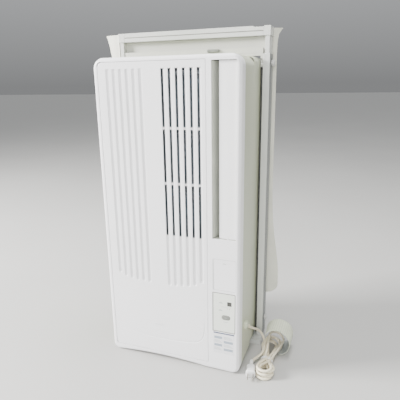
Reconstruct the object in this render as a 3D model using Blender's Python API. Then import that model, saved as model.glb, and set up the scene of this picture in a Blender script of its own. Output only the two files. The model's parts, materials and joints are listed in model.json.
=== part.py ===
"""Slim vertical window air conditioner standing in its telescopic mounting frame.

Sizes below are in millimetres and are turned into metres when a mesh is made. X is to the right as seen from
the front, Y runs back from the unit's front plane, and Z is up. Every object hangs on one empty that moves the
front plane forward, so that the world's origin is the middle of the sill's underside.
"""

import math

import bmesh
import bpy
from mathutils import Matrix, Vector

# Driving dimensions, millimetres.
MM = 0.001
GAP = 0.3
HALF_WIDTH = 175.0
HEIGHT = 750.0
DEPTH = 235.0
BEZEL_DEPTH = 28.0
INDOOR_DEPTH = 112.0
CASING_DEPTH = 190.0
COVER_HALF_WIDTH = 161.0
SILL_HEIGHT = 12.7
SILL_FRONT = 140.0
FRAME_FRONT = 165.0
FRAME_BACK = 205.0
RAIL_INNER = 182.0
RAIL_OUTER = 198.0
RAIL_TOP = 757.0
FRAME_TOP = 818.0
ORIGIN_DEPTH = 172.5

# The intake door and its flutes.
DOOR_LEFT, DOOR_RIGHT, DOOR_LOW, DOOR_TOP = -163.0, 97.0, 20.0, 740.0
DOOR_DEPTH = 15.0
HINGE_INSET = 2.5
FLUTE_LOW, FLUTE_TOP, FLUTE_DEPTH = 218.0, 725.0, 1.8
LEFT_FLUTES = [-142.0 + 16.5 * i for i in range(6)]
SLOT_FLUTES = [-5.0 + 16.7 * i for i in range(6)]
SLOT_LOW, SLOT_RIBS = 345.0, (471.0, 597.0)

# The outlet, its vane and its deflectors.
OUTLET_LEFT, OUTLET_RIGHT, OUTLET_LOW, OUTLET_TOP = 109.0, 165.0, 349.0, 738.0
VANE_X, VANE_Y = 144.5, 7.5
VANE_HALF = 20.2
DEFLECTOR_Y = 33.0
DEFLECTOR_HEIGHTS = [400.0 + 90.0 * i for i in range(4)]

# Controls.
PANEL_LOW, PANEL_TOP = 112.0, 215.0
BUTTON_X, BUTTON_Z, BUTTON_HALF, BUTTON_RADIUS = 142.0, 151.5, 11.0, 6.5
DISPLAY = (145.0, 156.0, 183.0, 194.0)

# Air movers and the refrigeration circuit.
ROTOR_X, ROTOR_Y, ROTOR_RADIUS = 130.0, 78.0, 29.0
FAN_Z, FAN_RADIUS = 520.0, 118.0
SHAFT_RADIUS = 4.0
TUBE_RADIUS = 3.7
COMPRESSOR_X, COMPRESSOR_Y, COMPRESSOR_RADIUS = 85.0, 168.0, 44.0
ACCUMULATOR_X, ACCUMULATOR_RADIUS = 10.0, 19.0

# The mains lead.
CORD_RADIUS = 3.25
HANK_WAIST_X, HANK_WAIST_Y, HANK_FRONT_LENGTH, HANK_BACK_LENGTH = 231.4, 64.0, 60.0, 100.0
HANK_LOW, HANK_TOP = 1.8, 26.0
WRAP_X, WRAP_Z, WRAP_RADIUS, WRAP_THICKNESS = 246.0, 37.2, 35.2, 1.4
PIN_SPACING = 12.7
CORD_ROUTE = [
    (180.8, 74.6, 92.6),
    (180.9, 90.0, 81.5),
    (181.6, 110.0, 67.6),
    (183.4, 130.0, 54.0),
    (187.5, 146.0, 43.0),
    (194.0, 153.5, 35.0),
    (200.5, 154.0, 27.0),
    (206.3, 148.5, 19.0),
]
TAIL_ROUTE = [
    (197.2, 56.0, 9.6),
    (197.9, 63.0, 9.8),
    (202.5, 69.2, 10.2),
    (208.5, 71.6, 10.8),
    (214.7, 72.0, 11.5),
]

COLOURS = {
    "white_plastic": ((0.80, 0.80, 0.81), 0.35, 0.0),
    "case_plastic": ((0.62, 0.63, 0.58), 0.3, 0.0),
    "panel_plastic": ((0.76, 0.79, 0.74), 0.3, 0.0),
    "vane_plastic": ((0.80, 0.80, 0.80), 0.4, 0.0),
    "dark_plastic": ((0.08, 0.08, 0.07), 0.2, 0.0),
    "button_plastic": ((0.27, 0.28, 0.26), 0.4, 0.0),
    "duct_plastic": ((0.42, 0.44, 0.40), 0.6, 0.0),
    "filter_plastic": ((0.30, 0.32, 0.33), 0.6, 0.0),
    "rotor_plastic": ((0.10, 0.10, 0.11), 0.5, 0.0),
    "fin_aluminium": ((0.62, 0.68, 0.72), 0.35, 1.0),
    "copper": ((0.72, 0.38, 0.24), 0.35, 1.0),
    "galvanised_steel": ((0.55, 0.56, 0.57), 0.45, 1.0),
    "black_steel": ((0.05, 0.05, 0.05), 0.45, 0.3),
    "frame_paint": ((0.74, 0.75, 0.73), 0.4, 0.2),
    "board": ((0.62, 0.62, 0.59), 0.6, 0.0),
    "foam": ((0.20, 0.20, 0.20), 0.9, 0.0),
    "circuit_board": ((0.10, 0.28, 0.14), 0.5, 0.0),
    "cord_vinyl": ((0.80, 0.78, 0.68), 0.45, 0.0),
    "soft_vinyl": ((0.78, 0.79, 0.72), 0.5, 0.0),
    "brass": ((0.70, 0.62, 0.42), 0.3, 1.0),
}


# Shapes. A shape is a list of corners and a list of faces, and closed unless its name says otherwise.
def merged(*shapes):
    corners, faces = [], []
    for shape_corners, shape_faces in shapes:
        start = len(corners)
        corners.extend(shape_corners)
        faces.extend([[start + i for i in face] for face in shape_faces])
    return corners, faces


def turned_about(shape, angle, axis, centre):
    """The shape turned by an angle in radians about an axis through centre."""
    turn = Matrix.Translation(centre) @ Matrix.Rotation(angle, 4, axis) @ Matrix.Translation(-Vector(centre))
    corners, faces = shape
    return [tuple(turn @ Vector(corner)) for corner in corners], faces


def loft(rings):
    """A solid through rings of equally many corners, closed by a face at each end."""
    count = len(rings[0])
    corners = [corner for ring in rings for corner in ring]
    faces = [list(range(count)), list(range(count * (len(rings) - 1), count * len(rings)))]
    for level in range(len(rings) - 1):
        for i in range(count):
            j = (i + 1) % count
            low, high = level * count, (level + 1) * count
            faces.append([low + i, low + j, high + j, high + i])
    return corners, faces


def on_plane(axis, u, v, w):
    """A corner at height w along the axis, with u and v across it in X, Y, Z order."""
    return {"X": (w, u, v), "Y": (u, w, v), "Z": (u, v, w)}[axis]


def prism(outline, axis, low, high):
    return loft([[on_plane(axis, u, v, w) for u, v in outline] for w in (low, high)])


def box(x0, x1, y0, y1, z0, z1):
    return prism([(x0, y0), (x1, y0), (x1, y1), (x0, y1)], "Z", z0, z1)


def circle(u, v, radius, sides):
    turn = 2 * math.pi / sides
    return [(u + radius * math.cos(turn * i), v + radius * math.sin(turn * i)) for i in range(sides)]


def cylinder(axis, u, v, radius, low, high, sides=16):
    return prism(circle(u, v, radius, sides), axis, low, high)


def turned(axis, u, v, profile, sides=16):
    """A turned solid through (radius, height) pairs, whose radii are all above zero."""
    rings = []
    for radius, height in profile:
        rings.append([on_plane(axis, a, b, height) for a, b in circle(u, v, radius, sides)])
    return loft(rings)


def rounded(x0, x1, z0, z1, radii, steps=4):
    """A rectangle's outline with round corners, from the lower left one, anticlockwise."""
    centres = [
        (x0 + radii[0], z0 + radii[0], math.pi),
        (x1 - radii[1], z0 + radii[1], 1.5 * math.pi),
        (x1 - radii[2], z1 - radii[2], 0.0),
        (x0 + radii[3], z1 - radii[3], 0.5 * math.pi),
    ]
    outline = []
    for (u, v, start), radius in zip(centres, radii):
        for i in range(steps + 1):
            angle = start + 0.5 * math.pi * i / steps
            outline.append((u + radius * math.cos(angle), v + radius * math.sin(angle)))
    return outline


def case_outline(inset=0.0, bottom=0.0, half=HALF_WIDTH, top=HEIGHT, top_radius=24.0, low_radius=18.0):
    low, high = low_radius - inset, top_radius - inset
    return rounded(-half + inset, half - inset, bottom + inset, top - inset, (low, low, high, high))


def arched_outline(inset=0.0):
    """The bezel's outline: its lower edge is a shallow arch between two feet."""
    outline = case_outline(inset, bottom=0.6)
    left_foot, right_foot, rise, steps = -155.0, 100.0, 7.0, 8
    arch = []
    for i in range(1, steps):
        x = left_foot + (right_foot - left_foot) * i / steps
        across = (2 * x - left_foot - right_foot) / (right_foot - left_foot)
        arch.append((x, 0.6 + inset + rise * (1 - across * across)))
    corner = len(outline) // 4
    return outline[:corner] + arch + outline[corner:]


# Objects.
def material(name):
    found = bpy.data.materials.get(name)
    if found:
        return found
    colour, roughness, metallic = COLOURS[name]
    made = bpy.data.materials.new(name)
    made.use_nodes = True
    shader = made.node_tree.nodes["Principled BSDF"]
    shader.inputs["Base Color"].default_value = (*colour, 1.0)
    shader.inputs["Roughness"].default_value = roughness
    shader.inputs["Metallic"].default_value = metallic
    return made


def mesh_object(name, shape, origin):
    corners, faces = shape
    mesh = bpy.data.meshes.new(name)
    moved = [tuple((Vector(corner) - Vector(origin)) * MM) for corner in corners]
    mesh.from_pydata(moved, [], faces)
    work = bmesh.new()
    work.from_mesh(mesh)
    bmesh.ops.recalc_face_normals(work, faces=work.faces)
    work.to_mesh(mesh)
    work.free()
    made = bpy.data.objects.new(name, mesh)
    bpy.context.scene.collection.objects.link(made)
    made.location = Vector(origin) * MM
    made.parent = STAND
    return made


def boolean(target, shape, operation, tag):
    tool = mesh_object(f"{target.name}_{tag}", shape, (0, 0, 0))
    tool.hide_render = True
    tool.display_type = "WIRE"
    modifier = target.modifiers.new(tag, "BOOLEAN")
    modifier.operation = operation
    modifier.object = tool


def part(name, finish, shape, cuts=(), joins=(), origin=(0, 0, 0), smooth=30):
    """One node. Joins are united with it first, and cuts are then taken out of it."""
    made = mesh_object(name, shape, origin)
    made.data.materials.append(material(finish))
    made.data.shade_smooth()
    made.data.set_sharp_from_angle(angle=math.radians(smooth))
    for i, joined in enumerate(joins):
        boolean(made, joined, "UNION", f"join_{i}")
    for i, cut in enumerate(cuts):
        boolean(made, cut, "DIFFERENCE", f"cut_{i}")
    return made


def smooth_route(points, count):
    """Points evenly along a smooth curve through a route's own points."""
    ends = [2 * Vector(points[0]) - Vector(points[1]), 2 * Vector(points[-1]) - Vector(points[-2])]
    knots = [ends[0], *[Vector(point) for point in points], ends[1]]
    fine = []
    for a, b, c, d in zip(knots, knots[1:], knots[2:], knots[3:]):
        for i in range(20):
            t = i / 20
            fine.append(0.5 * ((2 * b) + (c - a) * t + (2 * a - 5 * b + 4 * c - d) * t**2
                               + (3 * b - a - 3 * c + d) * t**3))
    fine.append(knots[-2])
    lengths = [0.0]
    for a, b in zip(fine, fine[1:]):
        lengths.append(lengths[-1] + (b - a).length)
    placed, at = [], 0
    for i in range(count):
        wanted = lengths[-1] * i / (count - 1)
        while at < len(lengths) - 2 and lengths[at + 1] < wanted:
            at += 1
        share = (wanted - lengths[at]) / (lengths[at + 1] - lengths[at])
        placed.append(fine[at].lerp(fine[at + 1], share))
    return placed


def tube(name, finish, points, radius, sides=2):
    """A round tube along the points, with flat ends."""
    curve = bpy.data.curves.new(name, "CURVE")
    curve.dimensions = "3D"
    curve.bevel_depth = radius * MM
    curve.bevel_resolution = sides
    curve.use_fill_caps = True
    spline = curve.splines.new("POLY")
    spline.points.add(len(points) - 1)
    for point, place in zip(spline.points, points):
        point.co = (*(Vector(place) * MM), 1.0)
    curve.materials.append(material(finish))
    made = bpy.data.objects.new(name, curve)
    bpy.context.scene.collection.objects.link(made)
    made.parent = STAND
    return made


def serpentine(left, right, y, heights, corner, start):
    """The path of a tube that runs to and fro at the given heights, with small round corners."""
    path = [Vector(place) for place in start]
    for i, z in enumerate(heights):
        near, far = (right, left) if i % 2 == 0 else (left, right)
        side = 1 if near > far else -1
        if i > 0:
            path.append(Vector((near + side * 0.3 * corner, y, z - 0.3 * corner)))
        path.append(Vector((near - side * 0.6 * corner, y, z)))
        path.append(Vector((far + side * 0.6 * corner, y, z)))
        if i < len(heights) - 1:
            path.append(Vector((far - side * 0.3 * corner, y, z + 0.3 * corner)))
            path.append(Vector((far - side * 0.6 * corner, y, z + corner)))
            path.append(Vector((far - side * 0.6 * corner, y, heights[i + 1] - corner)))
    return path


# The unit's shells.
def front_bezel():
    edge = 8.0
    rings = []
    for i in range(5):
        angle = 0.5 * math.pi * i / 4
        inset, y = edge * (1 - math.sin(angle)), edge * (1 - math.cos(angle))
        rings.append([(x, y, z) for x, z in arched_outline(inset)])
    rings.append([(x, BEZEL_DEPTH, z) for x, z in arched_outline(0)])
    inside = loft([[(x, y, z) for x, z in arched_outline(3.0)] for y in (3.0, BEZEL_DEPTH + 1)])
    door = prism(rounded(DOOR_LEFT - 0.6, DOOR_RIGHT + 0.6, DOOR_LOW - 0.6, DOOR_TOP + 0.6, (4, 3, 3, 6)),
                 "Y", -1, 4)
    outlet = box(OUTLET_LEFT, OUTLET_RIGHT, -1, 4, OUTLET_LOW, OUTLET_TOP)
    controls = box(OUTLET_LEFT, OUTLET_RIGHT, -1, 4, PANEL_LOW, PANEL_TOP)
    recess = box(110, 166, -1, 0.8, 222, 300)
    filter_slot = box(-176, -171, 17.4, 22.6, 39.7, 720.3)
    hinge_x, hinge_y = DOOR_LEFT + HINGE_INSET, HINGE_INSET
    pins = merged(cylinder("Z", hinge_x, hinge_y, 1.8, DOOR_TOP - 9, DOOR_TOP + 5.5, 8),
                  cylinder("Z", hinge_x, hinge_y, 1.8, DOOR_LOW - 5.5, DOOR_LOW + 9, 8))
    part("front_bezel", "white_plastic", loft(rings), cuts=[inside, door, merged(outlet, controls),
                                                            recess, filter_slot, pins])


def indoor_case():
    outer = prism(case_outline(), "Y", BEZEL_DEPTH + GAP, INDOOR_DEPTH)
    inner = prism(case_outline(2.5), "Y", BEZEL_DEPTH - 1, INDOOR_DEPTH + 1)
    part("indoor_case", "case_plastic", outer, cuts=[inner])


def rear_casing():
    bottom = SILL_HEIGHT + 0.6
    front = INDOOR_DEPTH + GAP
    back = CASING_DEPTH
    rings = [[(x, y, z) for x, z in case_outline(inset, bottom, top_radius=14, low_radius=14)]
             for inset, y in ((0, front), (0, back - 4), (1.2, back - 1.2), (4, back))]
    inner = prism(case_outline(2, bottom, top_radius=14, low_radius=14), "Y", front - 1, back - 3)
    opening = box(-159.3, 159.3, back - 4, back + 1, bottom + 2.2, 740)
    part("rear_casing", "case_plastic", loft(rings), cuts=[inner, opening])


def rear_cover():
    bottom = SILL_HEIGHT + 0.6
    front = CASING_DEPTH + GAP
    rings = [[(x, y, z) for x, z in rounded(-COVER_HALF_WIDTH + inset, COVER_HALF_WIDTH - inset,
                                            bottom + inset, 742 - inset, [8 - inset] * 4, 2)]
             for inset, y in ((0, front), (0, DEPTH - 5), (1.5, DEPTH - 1.5), (5, DEPTH))]
    inner = prism(rounded(-159, 159, bottom + 2, 740, [6] * 4, 2), "Y", front - 1, DEPTH - 2)
    slots = []
    for row in range(16):
        z = 300 + 26 * row
        for x in (-146, 6):
            slots.append(box(x, x + 140, DEPTH - 4, DEPTH + 1, z, z + 16))
    part("rear_cover", "case_plastic", loft(rings), cuts=[inner, merged(*slots)])


def base_pan():
    low = SILL_HEIGHT + 3.1
    tray = box(-152, 152, 118, DEPTH - 3, low, 30)
    part("base_pan", "galvanised_steel", tray, cuts=[box(-150.5, 150.5, 119.5, DEPTH - 4.5, low + 1.6, 31)])


def partition():
    outline = case_outline(2.6, SILL_HEIGHT + 0.6, top_radius=14, low_radius=14)
    part("partition", "foam", prism(outline, "Y", 113, 117))


# The door, the filter and the outlet.
def intake_door():
    hinge = (DOOR_LEFT + HINGE_INSET, HINGE_INSET, 0)
    rings = [[(x, y, z) for x, z in rounded(DOOR_LEFT + inset, DOOR_RIGHT - inset, DOOR_LOW + inset,
                                            DOOR_TOP - inset, (8.4, 2.4, 2.4, 12.4))]
             for inset, y in ((1.5, 0), (0.4, 0.5), (0, 2.0), (0, DOOR_DEPTH))]
    pins = merged(cylinder("Z", hinge[0], hinge[1], 1.5, DOOR_TOP - 10, DOOR_TOP + 5, 8),
                  cylinder("Z", hinge[0], hinge[1], 1.5, DOOR_LOW - 5, DOOR_LOW + 10, 8))
    inside = prism(rounded(DOOR_LEFT + 5, DOOR_RIGHT - 3, DOOR_LOW + 3, DOOR_TOP - 3, (2, 2, 2, 8), 2),
                   "Y", 3.5, DOOR_DEPTH + 1)
    flutes = [box(x - 4.5, x + 4.5, -1, FLUTE_DEPTH, FLUTE_LOW, FLUTE_TOP) for x in LEFT_FLUTES]
    flutes += [box(x - 5.2, x + 5.2, -1, FLUTE_DEPTH, FLUTE_LOW, FLUTE_TOP) for x in SLOT_FLUTES]
    lows = [SLOT_LOW] + [rib + 3 for rib in SLOT_RIBS]
    tops = [rib - 3 for rib in SLOT_RIBS] + [FLUTE_TOP - 1]
    slots = [box(x - 2.5, x + 2.5, FLUTE_DEPTH - 1, 5, low, top) for x in SLOT_FLUTES
             for low, top in zip(lows, tops)]
    part("intake_door", "white_plastic", loft(rings), cuts=[inside, merged(*flutes), merged(*slots)],
         joins=[pins], origin=hinge)


def air_filter():
    left, right, low, top = -HALF_WIDTH, 90.0, 40.0, 720.0
    frame = box(left, right, 17.7, 22.3, low, top)
    windows = []
    for column in range(3):
        for row in range(5):
            x = left + 12 + column * 84.5
            z = low + 10 + row * 134
            windows.append(box(x, x + 78, 16, 24, z, z + 124))
    part("air_filter", "filter_plastic", frame, cuts=[merged(*windows)])


def outlet_duct():
    outer = prism(rounded(OUTLET_LEFT - 3, OUTLET_RIGHT + 3, OUTLET_LOW - 3, OUTLET_TOP + 3, (1, 1, 6, 1), 2),
                  "Y", 3.3, 46)
    inner = prism(rounded(OUTLET_LEFT - 1, OUTLET_RIGHT + 1, OUTLET_LOW - 1, OUTLET_TOP + 1, (1, 1, 4, 1), 2),
                  "Y", 2, 47)
    vane_holes = merged(cylinder("Z", VANE_X, VANE_Y, 2.3, OUTLET_LOW - 5, OUTLET_LOW, 10),
                        cylinder("Z", VANE_X, VANE_Y, 2.3, OUTLET_TOP, OUTLET_TOP + 5, 10))
    side_holes = []
    for z in DEFLECTOR_HEIGHTS:
        side_holes.append(cylinder("X", DEFLECTOR_Y, z, 1.8, OUTLET_LEFT - 5, OUTLET_LEFT, 8))
        side_holes.append(cylinder("X", DEFLECTOR_Y, z, 1.8, OUTLET_RIGHT, OUTLET_RIGHT + 5, 8))
    part("outlet_duct", "duct_plastic", outer, cuts=[inner, vane_holes, merged(*side_holes)])


def air_vane():
    blade = prism([(VANE_X - VANE_HALF, VANE_Y), (VANE_X - VANE_HALF + 4, VANE_Y - 1.5),
                   (VANE_X + VANE_HALF - 4, VANE_Y - 1.5), (VANE_X + VANE_HALF, VANE_Y),
                   (VANE_X + VANE_HALF - 4, VANE_Y + 1.5), (VANE_X - VANE_HALF + 4, VANE_Y + 1.5)],
                  "Z", OUTLET_LOW + 0.4, OUTLET_TOP - 0.6)
    pins = merged(cylinder("Z", VANE_X, VANE_Y, 2, OUTLET_LOW - 3, OUTLET_LOW + 8, 10),
                  cylinder("Z", VANE_X, VANE_Y, 2, OUTLET_TOP - 8, OUTLET_TOP + 3, 10))
    part("air_vane", "vane_plastic", blade, joins=[pins], origin=(VANE_X, VANE_Y, 0))


def deflector(index, z):
    outline = [(DEFLECTOR_Y - 8, z), (DEFLECTOR_Y - 2, z - 1), (DEFLECTOR_Y + 8, z - 0.5),
               (DEFLECTOR_Y + 8, z + 0.5), (DEFLECTOR_Y - 2, z + 1)]
    blade = prism(outline, "X", OUTLET_LEFT, OUTLET_RIGHT)
    pin = cylinder("X", DEFLECTOR_Y, z, 1.5, OUTLET_LEFT - 2.5, OUTLET_RIGHT + 2.5, 8)
    part(f"deflector_{index}", "duct_plastic", blade, joins=[pin], origin=(0, DEFLECTOR_Y, z))


def deflector_link():
    low, top = DEFLECTOR_HEIGHTS[0] - 12, DEFLECTOR_HEIGHTS[-1] + 12
    part("deflector_link", "duct_plastic", box(150, 153.5, 42.4, 45, low, top),
         origin=(151.75, 43.7, DEFLECTOR_HEIGHTS[0]))


# Controls and labels.
def stadium(x, z, half, radius, steps=6):
    outline = []
    for side, start in ((1, -0.5 * math.pi), (-1, 0.5 * math.pi)):
        for i in range(steps + 1):
            angle = start + math.pi * i / steps
            outline.append((x + side * (half - radius) + radius * math.cos(angle), z + radius * math.sin(angle)))
    return outline


def control_panel():
    plate = box(OUTLET_LEFT + GAP, OUTLET_RIGHT - GAP, 0.3, 3.0, PANEL_LOW + GAP, PANEL_TOP - GAP)
    window = box(DISPLAY[0], DISPLAY[1], -1, 4, DISPLAY[2], DISPLAY[3])
    hole = prism(stadium(BUTTON_X, BUTTON_Z, BUTTON_HALF, BUTTON_RADIUS), "Y", -1, 4)
    part("control_panel", "panel_plastic", plate, cuts=[merged(window, hole)])
    part("display_window", "dark_plastic", box(DISPLAY[0] + GAP, DISPLAY[1] - GAP, 0.1, 2.9,
                                               DISPLAY[2] + GAP, DISPLAY[3] - GAP))
    part("control_board", "circuit_board", box(106, 166, 9, 10.6, 116, 211))


def power_button():
    cap = prism(stadium(BUTTON_X, BUTTON_Z, BUTTON_HALF - 0.4, BUTTON_RADIUS - 0.4), "Y", -0.4, 4.4)
    flange = prism(stadium(BUTTON_X, BUTTON_Z, BUTTON_HALF + 2, BUTTON_RADIUS + 2), "Y", 3.4, 5.0)
    part("power_button", "button_plastic", cap, joins=[flange], origin=(BUTTON_X, 0, BUTTON_Z))


# The indoor side's air mover and heat exchanger.
def cross_flow_fan():
    low, top = 352.0, 734.0
    discs = [cylinder("Z", ROTOR_X, ROTOR_Y, ROTOR_RADIUS, z, z + 2.5, 24)
             for z in (low, 0.5 * (low + top), top - 2.5)]
    blades = []
    for i in range(16):
        blade = box(ROTOR_X + 21, ROTOR_X + 28, ROTOR_Y - 0.8, ROTOR_Y + 0.8, low + 1, top - 1)
        blade = turned_about(blade, math.radians(35), "Z", (ROTOR_X + 24.5, ROTOR_Y, 0))
        blades.append(turned_about(blade, 2 * math.pi * i / 16, "Z", (ROTOR_X, ROTOR_Y, 0)))
    shafts = merged(cylinder("Z", ROTOR_X, ROTOR_Y, SHAFT_RADIUS, 330, low + 1, 12),
                    cylinder("Z", ROTOR_X, ROTOR_Y, SHAFT_RADIUS, top - 1, top + 4, 12))
    part("cross_flow_rotor", "rotor_plastic", merged(*discs), joins=[merged(*blades), shafts],
         origin=(ROTOR_X, ROTOR_Y, 0))
    body = turned("Z", ROTOR_X, ROTOR_Y, [(22, 284), (28, 290), (28, 340), (22, 347)])
    bore = cylinder("Z", ROTOR_X, ROTOR_Y, SHAFT_RADIUS + 0.4, 327, 350, 12)
    part("cross_flow_motor", "galvanised_steel", body, cuts=[bore])


def scroll_casing():
    inner, outer, steps = 31.5, 33.5, 14
    angles = [math.radians(-52 + 157 * i / steps) for i in range(steps + 1)]
    outline = [(ROTOR_X + inner * math.cos(a), ROTOR_Y + inner * math.sin(a)) for a in angles]
    outline += [(ROTOR_X + outer * math.cos(a), ROTOR_Y + outer * math.sin(a)) for a in reversed(angles)]
    part("scroll_casing", "duct_plastic", prism(outline, "Z", OUTLET_LOW - 3, OUTLET_TOP + 3))


def heat_exchanger(name, left, right, front, back, low, top, heights, start):
    """A block of fins with a tube in grooves across its back."""
    tube_y = back - 3.5
    grooves = [box(left - 1, right + 1, tube_y - 4.5, back + 1, z - 5, z + 5) for z in heights]
    part(f"{name}_fins", "fin_aluminium", box(left, right, front, back, low, top), cuts=[merged(*grooves)])
    path = serpentine(left - 2, right + 2, tube_y, heights, 9.0, start)
    tube(f"{name}_coil", "copper", path, TUBE_RADIUS, sides=1)


def evaporator():
    heights = [88.0 + 56.0 * i for i in range(12)]
    heat_exchanger("evaporator", -152, 84, 32, 58, 62, 730, heights, [])
    tray = box(-160, 94, 28.6, 64, 40, 54)
    part("drain_pan", "foam", tray, cuts=[box(-158, 92, 30.6, 62, 42, 55)])


def condenser():
    heights = [326.0 + 52.0 * i for i in range(8)]
    start = [(149, 216.5, 296), (149, 216.5, 317), (147, 216.5, 323), (142, 216.5, 326)]
    heat_exchanger("condenser", -138, 138, 194, 220, 300, 722, heights, start)


def electrical_box():
    outer = box(98, 169, 34, 106, 60, 278)
    part("electrical_box", "galvanised_steel", outer, cuts=[box(100, 167, 33, 104, 62, 276)])
    part("run_capacitor", "dark_plastic", cylinder("Z", 134, 70, 17, 64, 150, 16))


# The outdoor side.
def fan_blade(turn):
    rings = []
    for radius, width, pitch in ((22.0, 36.0, 34.0), (70.0, 58.0, 26.0), (FAN_RADIUS, 62.0, 19.0)):
        angle = math.radians(pitch)
        along = Vector((0, math.sin(angle), math.cos(angle)))
        across = Vector((0, math.cos(angle), -math.sin(angle)))
        middle = Vector((radius, 170, FAN_Z))
        rings.append([tuple(middle + along * a * width / 2 + across * b)
                      for a, b in ((-1, -1), (1, -1), (1, 1), (-1, 1))])
    return turned_about(loft(rings), turn, "Y", (0, 0, FAN_Z))


def outdoor_fan():
    hub = cylinder("Y", 0, FAN_Z, 26, 157, 183, 20)
    blades = merged(*[fan_blade(0.5 * math.pi * i) for i in range(4)])
    shaft = cylinder("Y", 0, FAN_Z, SHAFT_RADIUS, 142, 158, 12)
    part("outdoor_fan", "rotor_plastic", hub, joins=[blades, shaft], origin=(0, 170, FAN_Z))
    body = turned("Y", 0, FAN_Z, [(30, 122), (34, 126), (34, 149), (30, 153)])
    bore = cylinder("Y", 0, FAN_Z, SHAFT_RADIUS + 0.4, 139, 154, 12)
    bracket = box(-90, 90, 117.3, 123, FAN_Z - 22, FAN_Z + 22)
    part("outdoor_fan_motor", "galvanised_steel", body, joins=[bracket], cuts=[bore])
    opening = cylinder("Y", 0, FAN_Z, FAN_RADIUS + 5, 185, 189, 32)
    part("fan_shroud", "galvanised_steel", box(-155, 155, 185.4, 187, FAN_Z - 135, FAN_Z + 135), cuts=[opening])


def compressor():
    profile = [(12, 40), (34, 46), (44, 60), (44, 232), (34, 246), (12, 252)]
    part("compressor", "black_steel", turned("Z", COMPRESSOR_X, COMPRESSOR_Y, profile, 20))
    feet = merged(*[cylinder("Z", COMPRESSOR_X + 39 * math.cos(a), COMPRESSOR_Y + 39 * math.sin(a), 8, 17.8, 35, 12)
                    for a in (math.radians(30), math.radians(150), math.radians(270))])
    part("compressor_base", "black_steel",
         cylinder("Z", COMPRESSOR_X, COMPRESSOR_Y, 54, 34, 37, 6), joins=[feet])
    profile = [(6, 70), (19, 80), (19, 200), (6, 210)]
    part("accumulator", "black_steel", turned("Z", ACCUMULATOR_X, COMPRESSOR_Y, profile))
    suction = [(ACCUMULATOR_X, COMPRESSOR_Y, 69.6), (ACCUMULATOR_X, COMPRESSOR_Y, 60), (14, COMPRESSOR_Y, 50),
               (24, COMPRESSOR_Y, 47), (33, COMPRESSOR_Y, 52), (37, COMPRESSOR_Y, 64), (37.3, COMPRESSOR_Y, 80)]
    tube("suction_pipe", "copper", smooth_route(suction, 14), 3.2)
    discharge = [(COMPRESSOR_X, COMPRESSOR_Y, 252.4), (COMPRESSOR_X, COMPRESSOR_Y, 264), (93, 173, 275),
                 (116, 190, 279), (140, 208, 278), (148.6, 215.8, 285), (149, 216.5, 295.5)]
    tube("discharge_pipe", "copper", smooth_route(discharge, 22), 3.2)


# The mounting frame.
def frame_sill():
    part("frame_sill", "frame_paint", box(-RAIL_OUTER, RAIL_OUTER, SILL_FRONT, FRAME_BACK, 0, SILL_HEIGHT),
         cuts=[box(-RAIL_OUTER + 20, RAIL_OUTER - 20, SILL_FRONT + 6, SILL_FRONT + 14, SILL_HEIGHT - 3, 20)])


def across_box(side, x0, x1, y0, y1, z0, z1):
    """A box whose X limits are counted outwards from the middle, on the left (-1) or the right (1)."""
    near, far = sorted((side * x0, side * x1))
    return box(near, far, y0, y1, z0, z1)


def frame_side(side, name):
    outer = across_box(side, RAIL_INNER, RAIL_OUTER, FRAME_FRONT, FRAME_BACK, SILL_HEIGHT + GAP, RAIL_TOP)
    inner = across_box(side, RAIL_INNER + 1.9, RAIL_OUTER - 1.6, FRAME_FRONT + 1.9, FRAME_BACK - 1.9,
                       SILL_HEIGHT + 3, RAIL_TOP + 1)
    part(f"frame_{name}_rail", "frame_paint", outer, cuts=[inner])
    part(f"extension_{name}_rail", "frame_paint",
         across_box(side, RAIL_INNER + 4, RAIL_OUTER - 1.9, FRAME_FRONT + 2.2, FRAME_BACK - 2.2, 200,
                    FRAME_TOP - 21 - GAP))
    for purpose, z in (("clamp", 62.0), ("lock", 736.0)):
        face, reach = side * (RAIL_OUTER + GAP), side * (RAIL_OUTER + 8.5)
        knob = prism(circle(185, z, 7.5, 12), "X", min(face, reach), max(face, reach))
        part(f"{purpose}_screw_{name}", "white_plastic", knob, origin=(side * RAIL_OUTER, 185, z))


def frame_crossbar():
    bar = box(-RAIL_INNER + GAP, RAIL_INNER - GAP, 166, 176, HEIGHT + 2.5, HEIGHT + 21)
    tabs = merged(*[across_box(side, HALF_WIDTH + 1, RAIL_INNER - GAP, 166, 172, 728, HEIGHT + 4)
                    for side in (-1, 1)])
    holes = merged(*[cylinder("Y", side * 178.6, 745, 1.6, 165, 173, 8) for side in (-1, 1)])
    part("frame_crossbar", "frame_paint", bar, joins=[tabs], cuts=[holes])


def sash_latch():
    lever = prism(stadium(60, 767, 16, 3.6, 4), "Y", 161, 165.6)
    part("sash_latch", "button_plastic", lever, origin=(48, 163, 767))


def extension_top():
    rail = box(-RAIL_OUTER, RAIL_OUTER, FRAME_FRONT, FRAME_BACK, FRAME_TOP - 21, FRAME_TOP)
    groove = box(-RAIL_OUTER + 17, RAIL_OUTER - 17, FRAME_FRONT - 1, FRAME_FRONT + 2, FRAME_TOP - 12, FRAME_TOP - 9.5)
    part("extension_top_rail", "frame_paint", rail, cuts=[groove])
    part("filler_board", "board", box(-RAIL_INNER - 3.7, RAIL_INNER + 3.7, 181, 185, RAIL_TOP + 0.5,
                                      FRAME_TOP - 21 - GAP))


def left_reach(share):
    return 20 + 4 * share + 20 * share**14


def right_reach(share):
    """The right lip is broad and round near its foot, narrow along the rail, and flicks out at the top."""
    broad = 8 + 21 * math.exp(-(max(share - 0.06, 0.0) / 0.19) ** 2) + 12 * share**60
    foot = math.sqrt(1 - (1 - min(share / 0.03, 1.0)) ** 2)
    return 6 + (broad - 6) * foot


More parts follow.
